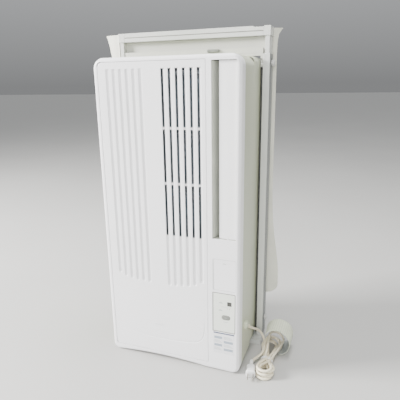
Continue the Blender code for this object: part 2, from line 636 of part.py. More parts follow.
def seal_fins():
    """Soft lips that stand out from the frame: the left on its rail's outer face, the right behind its rail."""
    shares = (0, 0.01, 0.03, 0.07, 0.12, 0.18, 0.25, 0.33, 0.42, 0.55, 0.7, 0.85, 0.93, 0.97, 1.0)
    thick, low, high, face = 1.5, 150.0, FRAME_TOP - 2, RAIL_OUTER + GAP
    rings = []
    for share in shares:
        out = left_reach(share)
        front = [(face, 167.0), (201.0, 168.3), (RAIL_OUTER + 0.5 * out, 168.5 + 0.05 * out),
                 (RAIL_OUTER + out, 168.5 + 0.22 * out)]
        rear = [(RAIL_OUTER + out, front[3][1] + thick), (RAIL_OUTER + 0.5 * out, front[2][1] + thick),
                (201.0, 171.0), (face, 174.0)]
        rings.append([(-x, y, low + (high - low) * share) for x, y in front + rear])
    part("left_seal_fin", "soft_vinyl", loft(rings))

    low, face = 128.0, FRAME_BACK + GAP
    rings = []
    for share in shares:
        out = right_reach(share)
        line = [(RAIL_OUTER - 12, 0.0), (RAIL_OUTER - 1, 0.0), (RAIL_OUTER + 0.45 * out, 0.12 * out),
                (RAIL_OUTER + out, 0.45 * out)]
        front = [(x, face + back, low + (high - low) * share) for x, back in line]
        rings.append(front + [(x, y + thick, z) for x, y, z in reversed(front)])
    part("right_seal_fin", "soft_vinyl", loft(rings))


# The mains lead, which leaves the case low on the right and lies in a tied hank on the floor.
def hank_half_width(share):
    """Half the hank's width at a share from -1 to 1 of its length: narrow at the tie, with round ends."""
    return math.sqrt(1 - share * share) * (11 + 32 * share * share)


def hank_middle(y):
    return HANK_WAIST_X - 0.03 * (y - HANK_WAIST_Y)


def cord_hank():
    right, left = [], []
    steps = 16
    for i in range(steps + 1):
        share = -math.cos(math.pi * i / steps)
        y = HANK_WAIST_Y + share * (HANK_FRONT_LENGTH if share < 0 else HANK_BACK_LENGTH)
        half = hank_half_width(share)
        right.append((hank_middle(y) + half, y))
        if 0 < i < steps:
            left.append((hank_middle(y) - half, y))
    outline = right + left[::-1]
    part("cord_hank", "cord_vinyl", prism(outline, "Z", HANK_LOW, HANK_TOP))
    middle, half, low, high = HANK_WAIST_X, 11.6, HANK_WAIST_Y - 5, HANK_WAIST_Y + 5
    outer = box(middle - half - 1.5, middle + half + 1.5, low, high, 0.2, HANK_TOP + 1.9)
    inner = box(middle - half, middle + half, low - 1, high + 1, HANK_LOW - 0.4, HANK_TOP + 0.4)
    part("cord_tie", "cord_vinyl", outer, cuts=[inner])


def cord_wrap():
    steps = 18
    angles = [math.radians(160 - 240 * i / steps) for i in range(steps + 1)]
    far = WRAP_RADIUS + WRAP_THICKNESS
    outline = [(WRAP_X + WRAP_RADIUS * math.cos(a), WRAP_Z + WRAP_RADIUS * math.sin(a)) for a in angles]
    outline += [(WRAP_X + far * math.cos(a), WRAP_Z + far * math.sin(a)) for a in reversed(angles)]
    part("cord_wrap", "soft_vinyl", prism(outline, "Y", 108, 170))


def cord_relief():
    boss = prism(rounded(38, 58, 105, 122, [6] * 4), "X", HALF_WIDTH + GAP, HALF_WIDTH + 10.5)
    fall = math.radians(-36)
    taper = turned("Y", 180.8, 114, [(5.2, 44), (5.0, 60), (4.0, 76.5)], 12)
    part("cord_relief", "cord_vinyl", boss, joins=[turned_about(taper, fall, "X", (180.8, 48, 114))])
    tube("power_cord", "cord_vinyl", smooth_route(CORD_ROUTE, 20), CORD_RADIUS)
    tube("cord_tail", "cord_vinyl", smooth_route(TAIL_ROUTE, 7), CORD_RADIUS)


def plug():
    lean = math.radians(10)
    pivot = (201, 20, 9)
    rings = []
    for y, half, low, top in ((0, 11, 0.4, 18.5), (4, 12, 0.2, 19.5), (26, 11, 0.4, 18.5), (33, 7, 3, 16),
                              (36, 5, 5, 14.5), (55.2, 4, 5.6, 13.6)):
        rings.append([(x, y, z) for x, z in rounded(201 - half, 201 + half, low, top, [0.45 * half] * 4, 2)])
    bridge = box(193.3, 208.7, -1, 1.7, 5.7, 12.3)
    slot = turned_about(bridge, lean, "Z", pivot)
    part("plug_body", "cord_vinyl", turned_about(loft(rings), lean, "Z", pivot), cuts=[slot])
    plate = box(193.6, 208.4, -0.4, 1.4, 6, 12)
    pins = merged(*[box(x - 0.75, x + 0.75, -17, 0.5, 6.3, 11.7)
                    for x in (201 - 0.5 * PIN_SPACING, 201 + 0.5 * PIN_SPACING)])
    part("plug_pins", "brass", turned_about(plate, lean, "Z", pivot), joins=[turned_about(pins, lean, "Z", pivot)])


def build():
    front_bezel()
    indoor_case()
    rear_casing()
    rear_cover()
    base_pan()
    partition()
    intake_door()
    air_filter()
    outlet_duct()
    air_vane()
    for index, height in enumerate(DEFLECTOR_HEIGHTS, start=1):
        deflector(index, height)
    deflector_link()
    control_panel()
    power_button()
    cross_flow_fan()
    scroll_casing()
    evaporator()
    condenser()
    electrical_box()
    outdoor_fan()
    compressor()
    frame_sill()
    for side, name in ((-1, "left"), (1, "right")):
        frame_side(side, name)
    frame_crossbar()
    sash_latch()
    extension_top()
    seal_fins()
    cord_hank()
    cord_wrap()
    cord_relief()
    plug()


for old in list(bpy.data.objects):
    bpy.data.objects.remove(old)
STAND = bpy.data.objects.new("front_plane", None)
bpy.context.scene.collection.objects.link(STAND)
STAND.location = (0, -ORIGIN_DEPTH * MM, 0)
build()
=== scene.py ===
import json
import math

import bmesh
import bpy
import numpy as np
from mathutils import Matrix, Vector


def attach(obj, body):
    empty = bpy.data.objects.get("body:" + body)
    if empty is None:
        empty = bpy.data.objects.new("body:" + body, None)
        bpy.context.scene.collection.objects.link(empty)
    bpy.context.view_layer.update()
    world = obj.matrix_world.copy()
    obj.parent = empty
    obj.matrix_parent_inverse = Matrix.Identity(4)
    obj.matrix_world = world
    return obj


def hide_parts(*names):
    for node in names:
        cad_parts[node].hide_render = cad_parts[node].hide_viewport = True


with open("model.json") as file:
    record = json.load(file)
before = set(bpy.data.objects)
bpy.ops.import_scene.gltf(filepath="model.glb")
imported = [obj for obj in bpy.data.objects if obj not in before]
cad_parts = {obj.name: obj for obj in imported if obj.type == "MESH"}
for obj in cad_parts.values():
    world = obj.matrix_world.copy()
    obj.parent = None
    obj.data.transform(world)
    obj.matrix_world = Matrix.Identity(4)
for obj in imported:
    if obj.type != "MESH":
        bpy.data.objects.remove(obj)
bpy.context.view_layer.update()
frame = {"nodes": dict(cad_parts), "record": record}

# Sizes are in millimetres, in the unit's own frame: Y is counted back from its front plane.
MM = 0.001
SIDES = (-1, 1)
FRONT_PLANE = -172.5
HALF_WIDTH, HEIGHT = 175.0, 750.0
BEZEL_DEPTH, INDOOR_DEPTH, CASING_DEPTH, DEPTH = 28.0, 112.0, 190.0, 235.0
CASING_LOW = 13.3
DOOR_LEFT, DOOR_RIGHT, DOOR_LOW, DOOR_TOP, DOOR_DEPTH = -163.0, 97.0, 20.0, 740.0, 15.0
HINGE = (DOOR_LEFT + 2.5, 2.5)
OUTLET_LEFT, OUTLET_RIGHT, OUTLET_LOW, OUTLET_TOP = 109.0, 165.0, 349.0, 738.0
PANEL_LOW, PANEL_TOP = 112.0, 215.0
VANE_X, VANE_Y, VANE_HALF = 144.5, 7.5, 20.2
RAIL_INNER, RAIL_OUTER, RAIL_TOP = 182.0, 198.0, 757.0
FRAME_FRONT, FRAME_BACK, FRAME_TOP = 165.0, 205.0, 818.0
BUTTON_X, BUTTON_Z = 142, 151.5
FLUTES, SLOT_LEFT, SLOT_PITCH, SLOT_WIDTH = 6, -6.6, 16.7, 5.6
SLOT_SPANS = ((345.0, 468.4), (473.6, 594.4), (599.6, 724.0))
CORD_RADIUS, CORD_X = 3.25, 180.8
CORD_START, CORD_EXIT = (CORD_X, 71.0, 95.4), (CORD_X, 74.4, 92.7)
CORD_ROUTE = [
    (CORD_X, 74.6, 92.6), (180.9, 90.0, 81.5), (181.6, 110.0, 67.6), (183.4, 130.0, 54.0),
    (187.5, 146.0, 43.0), (194.0, 153.5, 35.0), (200.5, 154.0, 27.0), (206.3, 148.5, 19.0), (212.5, 136, 12),
    (217.5, 118, 9.8), (222, 92, 10.2),
]
PLUG_ROUTE = [
    (213.5, 83.0, 12.0), (207.5, 73.5, 10.8), (201.8, 65.0, 10.0), (197.8, 57.0, 9.7), (196.0, 50.0, 9.6),
]
# The plug lies turned by an angle, about an axis through a point.
PLUG_X, PLUG_LEAN = 201, (math.radians(10), "Z", (201, 20, 9))
PIN_SPACING = 12.7
PIN_PLACES = (PLUG_X - 0.5 * PIN_SPACING, PLUG_X + 0.5 * PIN_SPACING)
TIE_X, TIE_Y, TIE_Z = 231.0, 64.0, 10.8
WRAP_X, WRAP_Z, WRAP_RADIUS, WRAP_FRONT, WRAP_BACK = 246.0, 37.2, 35.2, 108.0, 170.0


def at(x, y, z):
    """A place in the frame, in metres, from millimetres counted from the unit's front plane."""
    return Vector((x * MM, (y + FRONT_PLANE) * MM, z * MM))


# Materials.
def new_material(name, colour, roughness, metallic=0.0):
    made = bpy.data.materials.new(name)
    made.use_nodes = True
    shader = made.node_tree.nodes["Principled BSDF"]
    shader.inputs["Base Color"].default_value = (*colour, 1.0)
    shader.inputs["Roughness"].default_value = roughness
    shader.inputs["Metallic"].default_value = metallic
    return made, shader


def add_node(made, kind, **values):
    node = made.node_tree.nodes.new(kind)
    for key, value in values.items():
        if key in node.inputs:
            node.inputs[key].default_value = value
        else:
            setattr(node, key, value)
    return node


def link(made, source, output, target, socket):
    made.node_tree.links.new(source.outputs[output], target.inputs[socket])


def noise_at(made, scale, detail=3.0, stretch=(1, 1, 1)):
    place = add_node(made, "ShaderNodeTexCoord")
    mapping = add_node(made, "ShaderNodeMapping", Scale=stretch)
    noise = add_node(made, "ShaderNodeTexNoise", Scale=scale, Detail=detail)
    link(made, place, "Object", mapping, "Vector")
    link(made, mapping, "Vector", noise, "Vector")
    return noise


def ramp_between(made, low, dark, high, light):
    ramp = add_node(made, "ShaderNodeValToRGB")
    for end, place, colour in zip(ramp.color_ramp.elements, (low, high), (dark, light)):
        end.position = place
        end.color = (*colour, 1.0)
    return ramp


def mixed_colour(made, shader, noise, dark, light):
    ramp = ramp_between(made, 0.35, dark, 0.65, light)
    link(made, noise, "Fac", ramp, "Fac")
    link(made, ramp, "Color", shader, "Base Color")


def varied_roughness(made, shader, noise, low, high):
    spread = add_node(made, "ShaderNodeMapRange")
    spread.inputs["To Min"].default_value = low
    spread.inputs["To Max"].default_value = high
    link(made, noise, "Fac", spread, "Value")
    link(made, spread, "Result", shader, "Roughness")


def bumped(made, shader, height_node, output, strength, distance):
    bump = add_node(made, "ShaderNodeBump", Strength=strength, Distance=distance)
    link(made, height_node, output, bump, "Height")
    link(made, bump, "Normal", shader, "Normal")


def surface(name, colour, roughness, metallic=0.0, shift=0.1, patch=60.0, grain=900.0, depth=0.00004,
            strength=0.25, stretch=(1, 1, 1), coat=0.0, sheen=0.0):
    """A moulded, painted or metal surface: slow colour drift, uneven gloss and a fine grain."""
    made, shader = new_material(name, colour, roughness, metallic)
    drift = noise_at(made, patch, 4.0, stretch)
    dark = [c * (1 - shift) for c in colour]
    light = [min(1.0, c * (1 + 0.6 * shift)) for c in colour]
    mixed_colour(made, shader, drift, dark, light)
    varied_roughness(made, shader, drift, roughness * 0.85, min(1.0, roughness * 1.2))
    bumped(made, shader, noise_at(made, grain, 2.0, stretch), "Fac", strength, depth)
    shader.inputs["Coat Weight"].default_value = coat
    shader.inputs["Coat Roughness"].default_value = 0.12
    shader.inputs["Sheen Weight"].default_value = sheen
    return made


def dotted(name, colour, roughness):
    """Soft embossed sheet with rows of small dimples."""
    made, shader = new_material(name, colour, roughness)
    place = add_node(made, "ShaderNodeTexCoord")
    dimples = add_node(made, "ShaderNodeTexVoronoi", Scale=260.0, Randomness=0.25)
    link(made, place, "Object", dimples, "Vector")
    drift = noise_at(made, 40.0)
    mixed_colour(made, shader, drift, [c * 0.93 for c in colour], colour)
    bumped(made, shader, dimples, "Distance", 0.55, 0.0006)
    shader.inputs["Sheen Weight"].default_value = 0.15
    return made


# The looks: first one for each material slot, then those of the smaller details.
LOOKS = {
    "shell": surface("white_shell", (0.86, 0.855, 0.87), 0.36, shift=0.012, patch=5.0, grain=1400.0,
                     strength=0.12),
    # Darker and greener than the front shell: partly the case's own tint, partly a painted reflection of a
    # dark green-beige wall in its glossy sides.
    "case": surface("case_paint", (0.51, 0.535, 0.40), 0.30, shift=0.03, patch=4.0, grain=1100.0,
                    strength=0.2, coat=0.15),
    "panel": surface("panel_film", (0.76, 0.79, 0.72), 0.38, shift=0.02, patch=14.0, grain=2200.0,
                     strength=0.15),
    "vane": surface("vane_plastic", (0.86, 0.86, 0.865), 0.42, shift=0.015, patch=6.0, grain=1300.0),
    "display": surface("display_window", (0.05, 0.05, 0.045), 0.12, shift=0.2, strength=0.05, coat=0.6),
    "button": surface("button_plastic", (0.20, 0.21, 0.185), 0.45, shift=0.08, patch=80.0, grain=2500.0),
    "duct": surface("duct_plastic", (0.58, 0.60, 0.52), 0.55, shift=0.08, patch=12.0, grain=1200.0),
    "filter": surface("filter_net", (0.26, 0.30, 0.33), 0.6, shift=0.15, patch=30.0, grain=1500.0),
    "rotor": surface("rotor_plastic", (0.06, 0.06, 0.065), 0.5, shift=0.2, patch=30.0),
    "fins": surface("fin_aluminium", (0.50, 0.60, 0.68), 0.34, 1.0, shift=0.08, patch=40.0, grain=500.0,
                    stretch=(1, 1, 0.1)),
    "copper": surface("copper_tube", (0.72, 0.36, 0.22), 0.32, 1.0, shift=0.25),
    "steel": surface("galvanised_steel", (0.55, 0.56, 0.57), 0.42, 1.0, shift=0.18, patch=45.0, grain=700.0),
    "black_steel": surface("black_paint", (0.02, 0.02, 0.022), 0.4, 0.2, shift=0.3, patch=30.0, grain=500.0,
                           coat=0.2),
    "capacitor": surface("capacitor_can", (0.60, 0.60, 0.62), 0.35, 1.0, patch=40.0, stretch=(1, 1, 0.2)),
    "foam": surface("grey_foam", (0.10, 0.10, 0.10), 0.9, shift=0.3, patch=90.0, grain=300.0, depth=0.0006,
                    strength=0.6, sheen=0.1),
    "circuit": surface("circuit_board", (0.04, 0.17, 0.08), 0.4, shift=0.3, patch=260.0, grain=800.0,
                       coat=0.2),
    "frame": surface("frame_paint", (0.60, 0.61, 0.585), 0.33, 0.15, shift=0.03, patch=8.0,
                     stretch=(1, 1, 0.2), coat=0.1),
    "board": surface("filler_board", (0.52, 0.525, 0.47), 0.6, shift=0.04, patch=6.0, grain=240.0,
                     depth=0.0001, stretch=(1, 1, 0.3)),
    "knob": surface("knob_plastic", (0.52, 0.52, 0.50), 0.42, shift=0.04, grain=1500.0),
    "seal": surface("seal_vinyl", (0.62, 0.62, 0.53), 0.48, shift=0.06, patch=15.0, grain=500.0,
                    depth=0.0001, sheen=0.1),
    "cord": surface("cord_vinyl", (0.80, 0.73, 0.56), 0.42, shift=0.05, patch=70.0, sheen=0.05),
    "wrap": dotted("wrap_foam", (0.68, 0.71, 0.56), 0.62),
    "pins": surface("nickelled_brass", (0.34, 0.31, 0.25), 0.28, 1.0, shift=0.12, patch=120.0, grain=700.0),

    "plug": surface("plug_vinyl", (0.86, 0.86, 0.85), 0.40, shift=0.03, grain=1100.0),
    "screw": surface("plated_screw", (0.62, 0.62, 0.60), 0.3, 1.0, patch=200.0),
    "mark": surface("faint_print", (0.36, 0.39, 0.39), 0.5, shift=0.2, patch=400.0),
    "navy": surface("navy_print", (0.06, 0.075, 0.15), 0.45, shift=0.2, patch=200.0),
    "pale_blue": surface("pale_blue_print", (0.32, 0.37, 0.43), 0.5, shift=0.15, patch=300.0),
    "label": surface("label_film", (0.78, 0.78, 0.80), 0.35, shift=0.02, patch=40.0, coat=0.2),
    # Painted shade: the embossed dots are coloured darker than the sheet they are pressed into.
    "dot_shade": surface("wrap_dot_shade", (0.44, 0.46, 0.36), 0.6, shift=0.05),
    "faint": surface("recess_edge_shade_line", (0.60, 0.60, 0.60), 0.5),
    # Painted reflection: a dark grey for the side rails' outer faces, standing in for a dark wall mirrored
    # in their paint.
    "painted_rail_reflection": surface("painted_rail_reflection", (0.20, 0.21, 0.21), 0.42, 0.2, shift=0.12, patch=14.0, grain=700.0,
                         stretch=(1, 1, 0.1)),
    # Painted shade: a dark grey for strips laid in the top rail's groove and over the gap round the control
    # panel.
    "painted_gap_shade": surface("painted_shade_line", (0.20, 0.20, 0.18), 0.5, shift=0.15, patch=40.0),
    "seam": surface("shadow_line", (0.33, 0.34, 0.34), 0.6, patch=90.0),
    # Painted shade: the wrap's inner face is a darker grey-blue, standing in for the shade inside the curl.
    "wrap_inner_painted_shade": surface("wrap_inner_painted_shade", (0.40, 0.43, 0.43), 0.7, shift=0.12, patch=120.0,
                           stretch=(1, 0.15, 1)),
}


# Shapes. A shape is a list of corners, in millimetres, and a list of faces.
def merged(*shapes):
    corners, faces = [], []
    for shape_corners, shape_faces in shapes:
        start = len(corners)
        corners.extend(shape_corners)
        faces.extend([[start + i for i in face] for face in shape_faces])
    return corners, faces


def turned_about(shape, angle, axis, centre):
    turn = Matrix.Translation(centre) @ Matrix.Rotation(angle, 4, axis) @ Matrix.Translation(-Vector(centre))
    corners, faces = shape
    return [tuple(turn @ Vector(corner)) for corner in corners], faces


def loft(rings):
    """A closed solid through rings that have the same number of corners."""
    count = len(rings[0])
    corners = [corner for ring in rings for corner in ring]
    faces = [list(range(count)), list(range(count * (len(rings) - 1), count * len(rings)))]
    for level in range(len(rings) - 1):
        for i in range(count):
            j = (i + 1) % count
            low, high = level * count, (level + 1) * count
            faces.append([low + i, low + j, high + j, high + i])
    return corners, faces


def on_plane(axis, u, v, w):
    return {"X": (w, u, v), "Y": (u, w, v), "Z": (u, v, w)}[axis]


def ring_at(outline, y):
    return [(x, y, z) for x, z in outline]


def layered(outline_of, levels):
    """A solid through one outline at several depths, drawn in by an inset at each."""
    return loft([ring_at(outline_of(inset), y) for inset, y in levels])


def edge_levels(edge, steps):
    """Insets and depths along a quarter-round edge."""
    turns = [0.5 * math.pi * i / steps for i in range(steps + 1)]
    return [(edge * (1 - math.sin(turn)), edge * (1 - math.cos(turn))) for turn in turns]


def prism(outline, axis, low, high):
    return loft([[on_plane(axis, u, v, w) for u, v in outline] for w in (low, high)])


def box(x0, x1, y0, y1, z0, z1):
    return prism([(x0, y0), (x1, y0), (x1, y1), (x0, y1)], "Z", z0, z1)


def circle(u, v, radius, sides):
    turn = 2 * math.pi / sides
    return [(u + radius * math.cos(turn * i), v + radius * math.sin(turn * i)) for i in range(sides)]


def cylinder(axis, u, v, radius, low, high, sides):
    return prism(circle(u, v, radius, sides), axis, low, high)


def turned(axis, u, v, profile, sides=32):
    rings = []
    for radius, height in profile:
        rings.append([on_plane(axis, a, b, height) for a, b in circle(u, v, radius, sides)])
    return loft(rings)


def pins_at(x, y, radius, sides, *spans):
    return merged(*[cylinder("Z", x, y, radius, low, high, sides) for low, high in spans])


def rounded(x0, x1, z0, z1, radii, steps=8):
    """A rectangle with round corners, of one radius or of four."""
    radii = radii if isinstance(radii, tuple) else (radii,) * 4
    centres = [
        (x0 + radii[0], z0 + radii[0], math.pi),
        (x1 - radii[1], z0 + radii[1], 1.5 * math.pi),
        (x1 - radii[2], z1 - radii[2], 0.0),
        (x0 + radii[3], z1 - radii[3], 0.5 * math.pi),
    ]
    outline = []
    for (u, v, start), radius in zip(centres, radii):
        for i in range(steps + 1):
            angle = start + 0.5 * math.pi * i / steps
            outline.append((u + radius * math.cos(angle), v + radius * math.sin(angle)))
    return outline


def plate(x0, x1, z0, z1, radii, front, back, steps=8):
    return prism(rounded(x0, x1, z0, z1, radii, steps), "Y", front, back)


def stadium(x, z, half, radius, steps=12):
    outline = []
    for side, start in ((1, -0.5 * math.pi), (-1, 0.5 * math.pi)):
        for i in range(steps + 1):
            angle = start + math.pi * i / steps
            middle = x + side * (half - radius)
            outline.append((middle + radius * math.cos(angle), z + radius * math.sin(angle)))
    return outline


def case_outline(inset=0.0, bottom=0.0, top_radius=24.0, low_radius=18.0):
    low, high = low_radius - inset, top_radius - inset
    return rounded(-HALF_WIDTH + inset, HALF_WIDTH - inset, bottom + inset, HEIGHT - inset,
                   (low, low, high, high), 14)


def arched_outline(inset):
    outline = case_outline(inset, bottom=0.6)
    left_foot, right_foot, rise, steps = -155.0, 100.0, 7.0, 24
    arch = []
    for i in range(1, steps):
        x = left_foot + (right_foot - left_foot) * i / steps
        across = (2 * x - left_foot - right_foot) / (right_foot - left_foot)
        arch.append((x, 0.6 + inset + rise * (1 - across * across)))
    corner = len(outline) // 4
    return outline[:corner] + arch + outline[corner:]


# Pieces.
def placed(name, data):
    made = bpy.data.objects.new(name, data)
    bpy.context.scene.collection.objects.link(made)
    return made


def mesh_of(name, shape):
    corners, faces = shape
    mesh = bpy.data.meshes.new(name)
    mesh.from_pydata([tuple(at(*corner)) for corner in corners], [], faces)
    work = bmesh.new()
    work.from_mesh(mesh)
    bmesh.ops.recalc_face_normals(work, faces=work.faces)
    work.to_mesh(mesh)
    work.free()
    return mesh


def carved(name, shape, cuts=(), joins=()):
    """The mesh of a shape with the joins added to it and the cuts taken out of it."""
    target = placed(name, mesh_of(name, shape))
    tools = []
    for operation, shapes in (("UNION", joins), ("DIFFERENCE", cuts)):
        for tool_shape in shapes:
            tool = placed(f"{name}_tool", mesh_of(f"{name}_tool", tool_shape))
            modifier = target.modifiers.new("cut", "BOOLEAN")
            modifier.operation = operation
            modifier.object = tool
            tools.append(tool)
    mesh = bpy.data.meshes.new_from_object(target.evaluated_get(bpy.context.evaluated_depsgraph_get()))
    for gone in [target, *tools]:
        bpy.data.objects.remove(gone)
    return mesh


def piece(name, mesh, look, body="unit", slot=None, node=None, bevel=0.0, smooth=32, segments=2):
    """A piece of the visual model: its mesh, its look, the body it rides on and the node it stands for."""
    made = placed(name, mesh)
    mesh.materials.clear()
    mesh.materials.append(LOOKS[look])
    mesh.shade_smooth()
    mesh.set_sharp_from_angle(angle=math.radians(smooth))
    if bevel:
        modifier = made.modifiers.new("soft_edges", "BEVEL")
        modifier.width = bevel * MM
        modifier.segments = segments
        modifier.limit_method = "ANGLE"
        modifier.angle_limit = math.radians(35)
        evened = made.modifiers.new("even_normals", "WEIGHTED_NORMAL")
        evened.keep_sharp = True
        evened.weight = 100
    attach(made, body)
    if node:
        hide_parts(node)
    return made


def simple(name, shape, look, **options):
    return piece(name, mesh_of(name, shape), look, **options)


def solid(name, shape, look, cuts=(), joins=(), **options):
    return piece(name, carved(name, shape, cuts, joins), look, **options)


# The camera, at the height of someone standing back from the unit's right.
CAMERA_PLACE, CAMERA_LENS = (0.3961, -1.0301, 0.6900), 37.87
CAMERA_TURN = (-0.35233593, -0.26844057, -0.01453944)


def camera():
    yaw, pitch, roll = CAMERA_TURN
    forward = Vector((math.sin(yaw) * math.cos(pitch), math.cos(yaw) * math.cos(pitch), math.sin(pitch)))
    level = Vector((math.cos(yaw), -math.sin(yaw), 0.0))
    upward = level.cross(forward)
    right = math.cos(roll) * level + math.sin(roll) * upward
    up = -math.sin(roll) * level + math.cos(roll) * upward
    data = bpy.data.cameras.new("camera")
    data.lens = CAMERA_LENS
    made = placed("camera", data)
    turn = Matrix((right, up, -forward)).transposed().to_4x4()
    made.matrix_world = Matrix.Translation(CAMERA_PLACE) @ turn
    bpy.context.scene.camera = made


# The mains lead.
def smooth_route(points, spacing):
    """Points about spacing apart along a smooth curve through a route's own points."""
    ends = [2 * Vector(points[0]) - Vector(points[1]), 2 * Vector(points[-1]) - Vector(points[-2])]
    knots = [ends[0], *[Vector(point) for point in points], ends[1]]
    fine, steps = [], 16
    for a, b, c, d in zip(knots, knots[1:], knots[2:], knots[3:]):
        for i in range(steps):
            t = i / steps
            fine.append(0.5 * ((2 * b) + (c - a) * t + (2 * a - 5 * b + 4 * c - d) * t**2
                               + (3 * b - a - 3 * c + d) * t**3))
    fine.append(knots[-2])
    lengths = [0.0]
    for a, b in zip(fine, fine[1:]):
        lengths.append(lengths[-1] + (b - a).length)
    count = max(2, round(lengths[-1] / spacing) + 1)
    spaced, reached = [], 0
    for i in range(count):
        wanted = lengths[-1] * i / (count - 1)
        while reached < len(lengths) - 2 and lengths[reached + 1] < wanted:
            reached += 1
        share = (wanted - lengths[reached]) / (lengths[reached + 1] - lengths[reached])
        spaced.append(fine[reached].lerp(fine[reached + 1], share))
    return spaced


def loop(start, end, apex, radius, across):
    """One fold: straight out of the tie, round a circle whose far side is the apex, and straight back."""
    start, end, apex, across = Vector(start), Vector(end), Vector(apex), Vector(across).normalized()
    base = 0.5 * (start + end)
    forward = (apex - base).normalized()
    centre = apex - forward * radius
    opening = math.asin(radius / (centre - base).length)
    arc, steps = [], 14
    for i in range(steps + 1):
        angle = -opening + (math.pi + 2 * opening) * i / steps
        arc.append(centre + radius * (across * math.cos(angle) + forward * math.sin(angle)))
    out = [start.lerp(arc[0], share) for share in (0.25, 0.5, 0.75)]
    back = [arc[-1].lerp(end, share) for share in (0.25, 0.5, 0.75)]
    return out + arc + back


def tie_slot(row, place):
    """Where one strand passes through the tie: nested rows of four, three and four strands."""
    first = -6.6 if row % 2 else -9.9
    return (TIE_X + first + 6.6 * place, TIE_Y, 5.0 + 5.7 * row)


def hank_points():
    """The folds of the hank, from the lead's way in at the back to its way out beside the plug."""
    slots = [tie_slot(1, 0), tie_slot(0, 3), tie_slot(0, 1), tie_slot(0, 0), tie_slot(0, 2), tie_slot(1, 2),
             tie_slot(1, 1), tie_slot(2, 3), tie_slot(2, 1), tie_slot(2, 2), (218.5, 94, 13.5)]
    flat, leaning = (1, 0, 0), (0.92, 0, -0.38)
    front = [((234, 1, 4.0), 19.0, flat), ((239, 6, 9.0), 18.5, flat), ((233, 2, 13.5), 18.0, flat),
             ((238, 9, 18.0), 18.5, flat), ((235, 4, 22.0), 18.0, flat)]
    back = [((222, 158, 5.0), 19.5, flat), ((241, 162, 15), 20.0, leaning), ((228, 146, 14), 19.0, leaning),
            ((244, 164, 33), 20.5, leaning), ((237, 152, 24), 19.0, leaning)]
    points = [Vector(slots[0])]
    for i, (folds_forward, folds_back) in enumerate(zip(front, back)):
        for start, (apex, radius, across) in zip((2 * i, 2 * i + 1), (folds_forward, folds_back)):
            points += loop(slots[start], slots[start + 1], apex, radius, across)
            points.append(Vector(slots[start + 1]))
    return points


def packed(points, rounds=70):
    """The route with its strands pushed a diameter apart, above the floor and inside the wrap."""
    p = np.array([tuple(point) for point in points])
    rest = p.copy()
    count = len(p)
    apart = np.abs(np.arange(count)[:, None] - np.arange(count)[None]) > 4
    way_in, way_out = 26, 6
    fixed = np.zeros(count, bool)
    fixed[:way_in] = True
    fixed[-way_out:] = True
    for _ in range(rounds):
        gap = p[:, None] - p[None]
        far = np.linalg.norm(gap, axis=2)
        near = apart & (far < 2 * CORD_RADIUS)
        push = np.where(near, (2 * CORD_RADIUS - far) / np.maximum(far, 0.4), 0.0)[:, :, None] * gap
        step = 0.3 * push.sum(axis=1)
        size = np.linalg.norm(step, axis=1, keepdims=True)
        step *= np.minimum(1.0, 1.2 / np.maximum(size, 1e-6))
        step[1:-1] += 0.12 * (0.5 * (p[:-2] + p[2:]) - p[1:-1] - 0.5 * (rest[:-2] + rest[2:]) + rest[1:-1])
        step[fixed] = 0
        p += step
        p[~fixed, 2] = np.maximum(p[~fixed, 2], CORD_RADIUS + 0.1)
        inside = (p[:, 1] > WRAP_FRONT - 6) & ~fixed
        away = p[:, [0, 2]] - np.array([WRAP_X, WRAP_Z])
        radius = np.linalg.norm(away, axis=1)
        limit = WRAP_RADIUS - CORD_RADIUS - 0.4
        held = inside & (radius > limit) & (away[:, 1] < 0) & (away[:, 0] > -22)
        p[held, 0] = WRAP_X + away[held, 0] * limit / radius[held]
        p[held, 2] = WRAP_Z + away[held, 1] * limit / radius[held]
    for _ in range(4):
        p[1:-1] = 0.25 * p[:-2] + 0.5 * p[1:-1] + 0.25 * p[2:]
    return [Vector(row) for row in p]


def cord_curve(name, points, radius):
    data = bpy.data.curves.new(name, "CURVE")
    data.dimensions = "3D"
    data.bevel_depth = radius * MM
    data.bevel_resolution = 5
    data.use_fill_caps = True
    spline = data.splines.new("POLY")
    spline.points.add(len(points) - 1)
    for point, place in zip(spline.points, points):
        point.co = (*at(*place), 1.0)
    data.materials.append(LOOKS["cord"])
    return placed(name, data)


def mains_cord():
    route = [CORD_START, *CORD_ROUTE, *hank_points(), *PLUG_ROUTE]
    even = smooth_route(route, 5.0)
    line = smooth_route(packed(even), 4.0)
    made = cord_curve("mains_cord", line, CORD_RADIUS)
    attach(made, "unit")
    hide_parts("power_cord", "cord_tail", "cord_hank")
    return made


def cord_relief():
    """The boss on the case and a ribbed, tapering sleeve that points down towards the rear."""
    boss = prism(rounded(38, 58, 105, 122, 6), "X", HALF_WIDTH + 0.1, HALF_WIDTH + 9.5)
    profile = [(5.2, 46)]
    for rib in range(6):
        y = 57.5 + 2.9 * rib
        outer = 5.0 - 0.16 * rib
        profile += [(outer - 0.9, y - 0.1), (outer, y + 0.3), (outer, y + 1.5), (outer - 0.9, y + 1.9)]
    profile += [(3.9, 75.5), (3.5, 76.5)]
    taper = turned_about(turned("Y", CORD_X, 114, profile), math.radians(-36), "X", (CORD_X, 48, 114))
    socket = prism(rounded(40, 56, 107, 120, 5), "X", HALF_WIDTH + 9.4, HALF_WIDTH + 10.5)
    simple("cord_socket", merged(boss, socket), "case", bevel=1.2, segments=3)
    return simple("cord_relief_sleeve", taper, "cord", node="cord_relief", smooth=50)


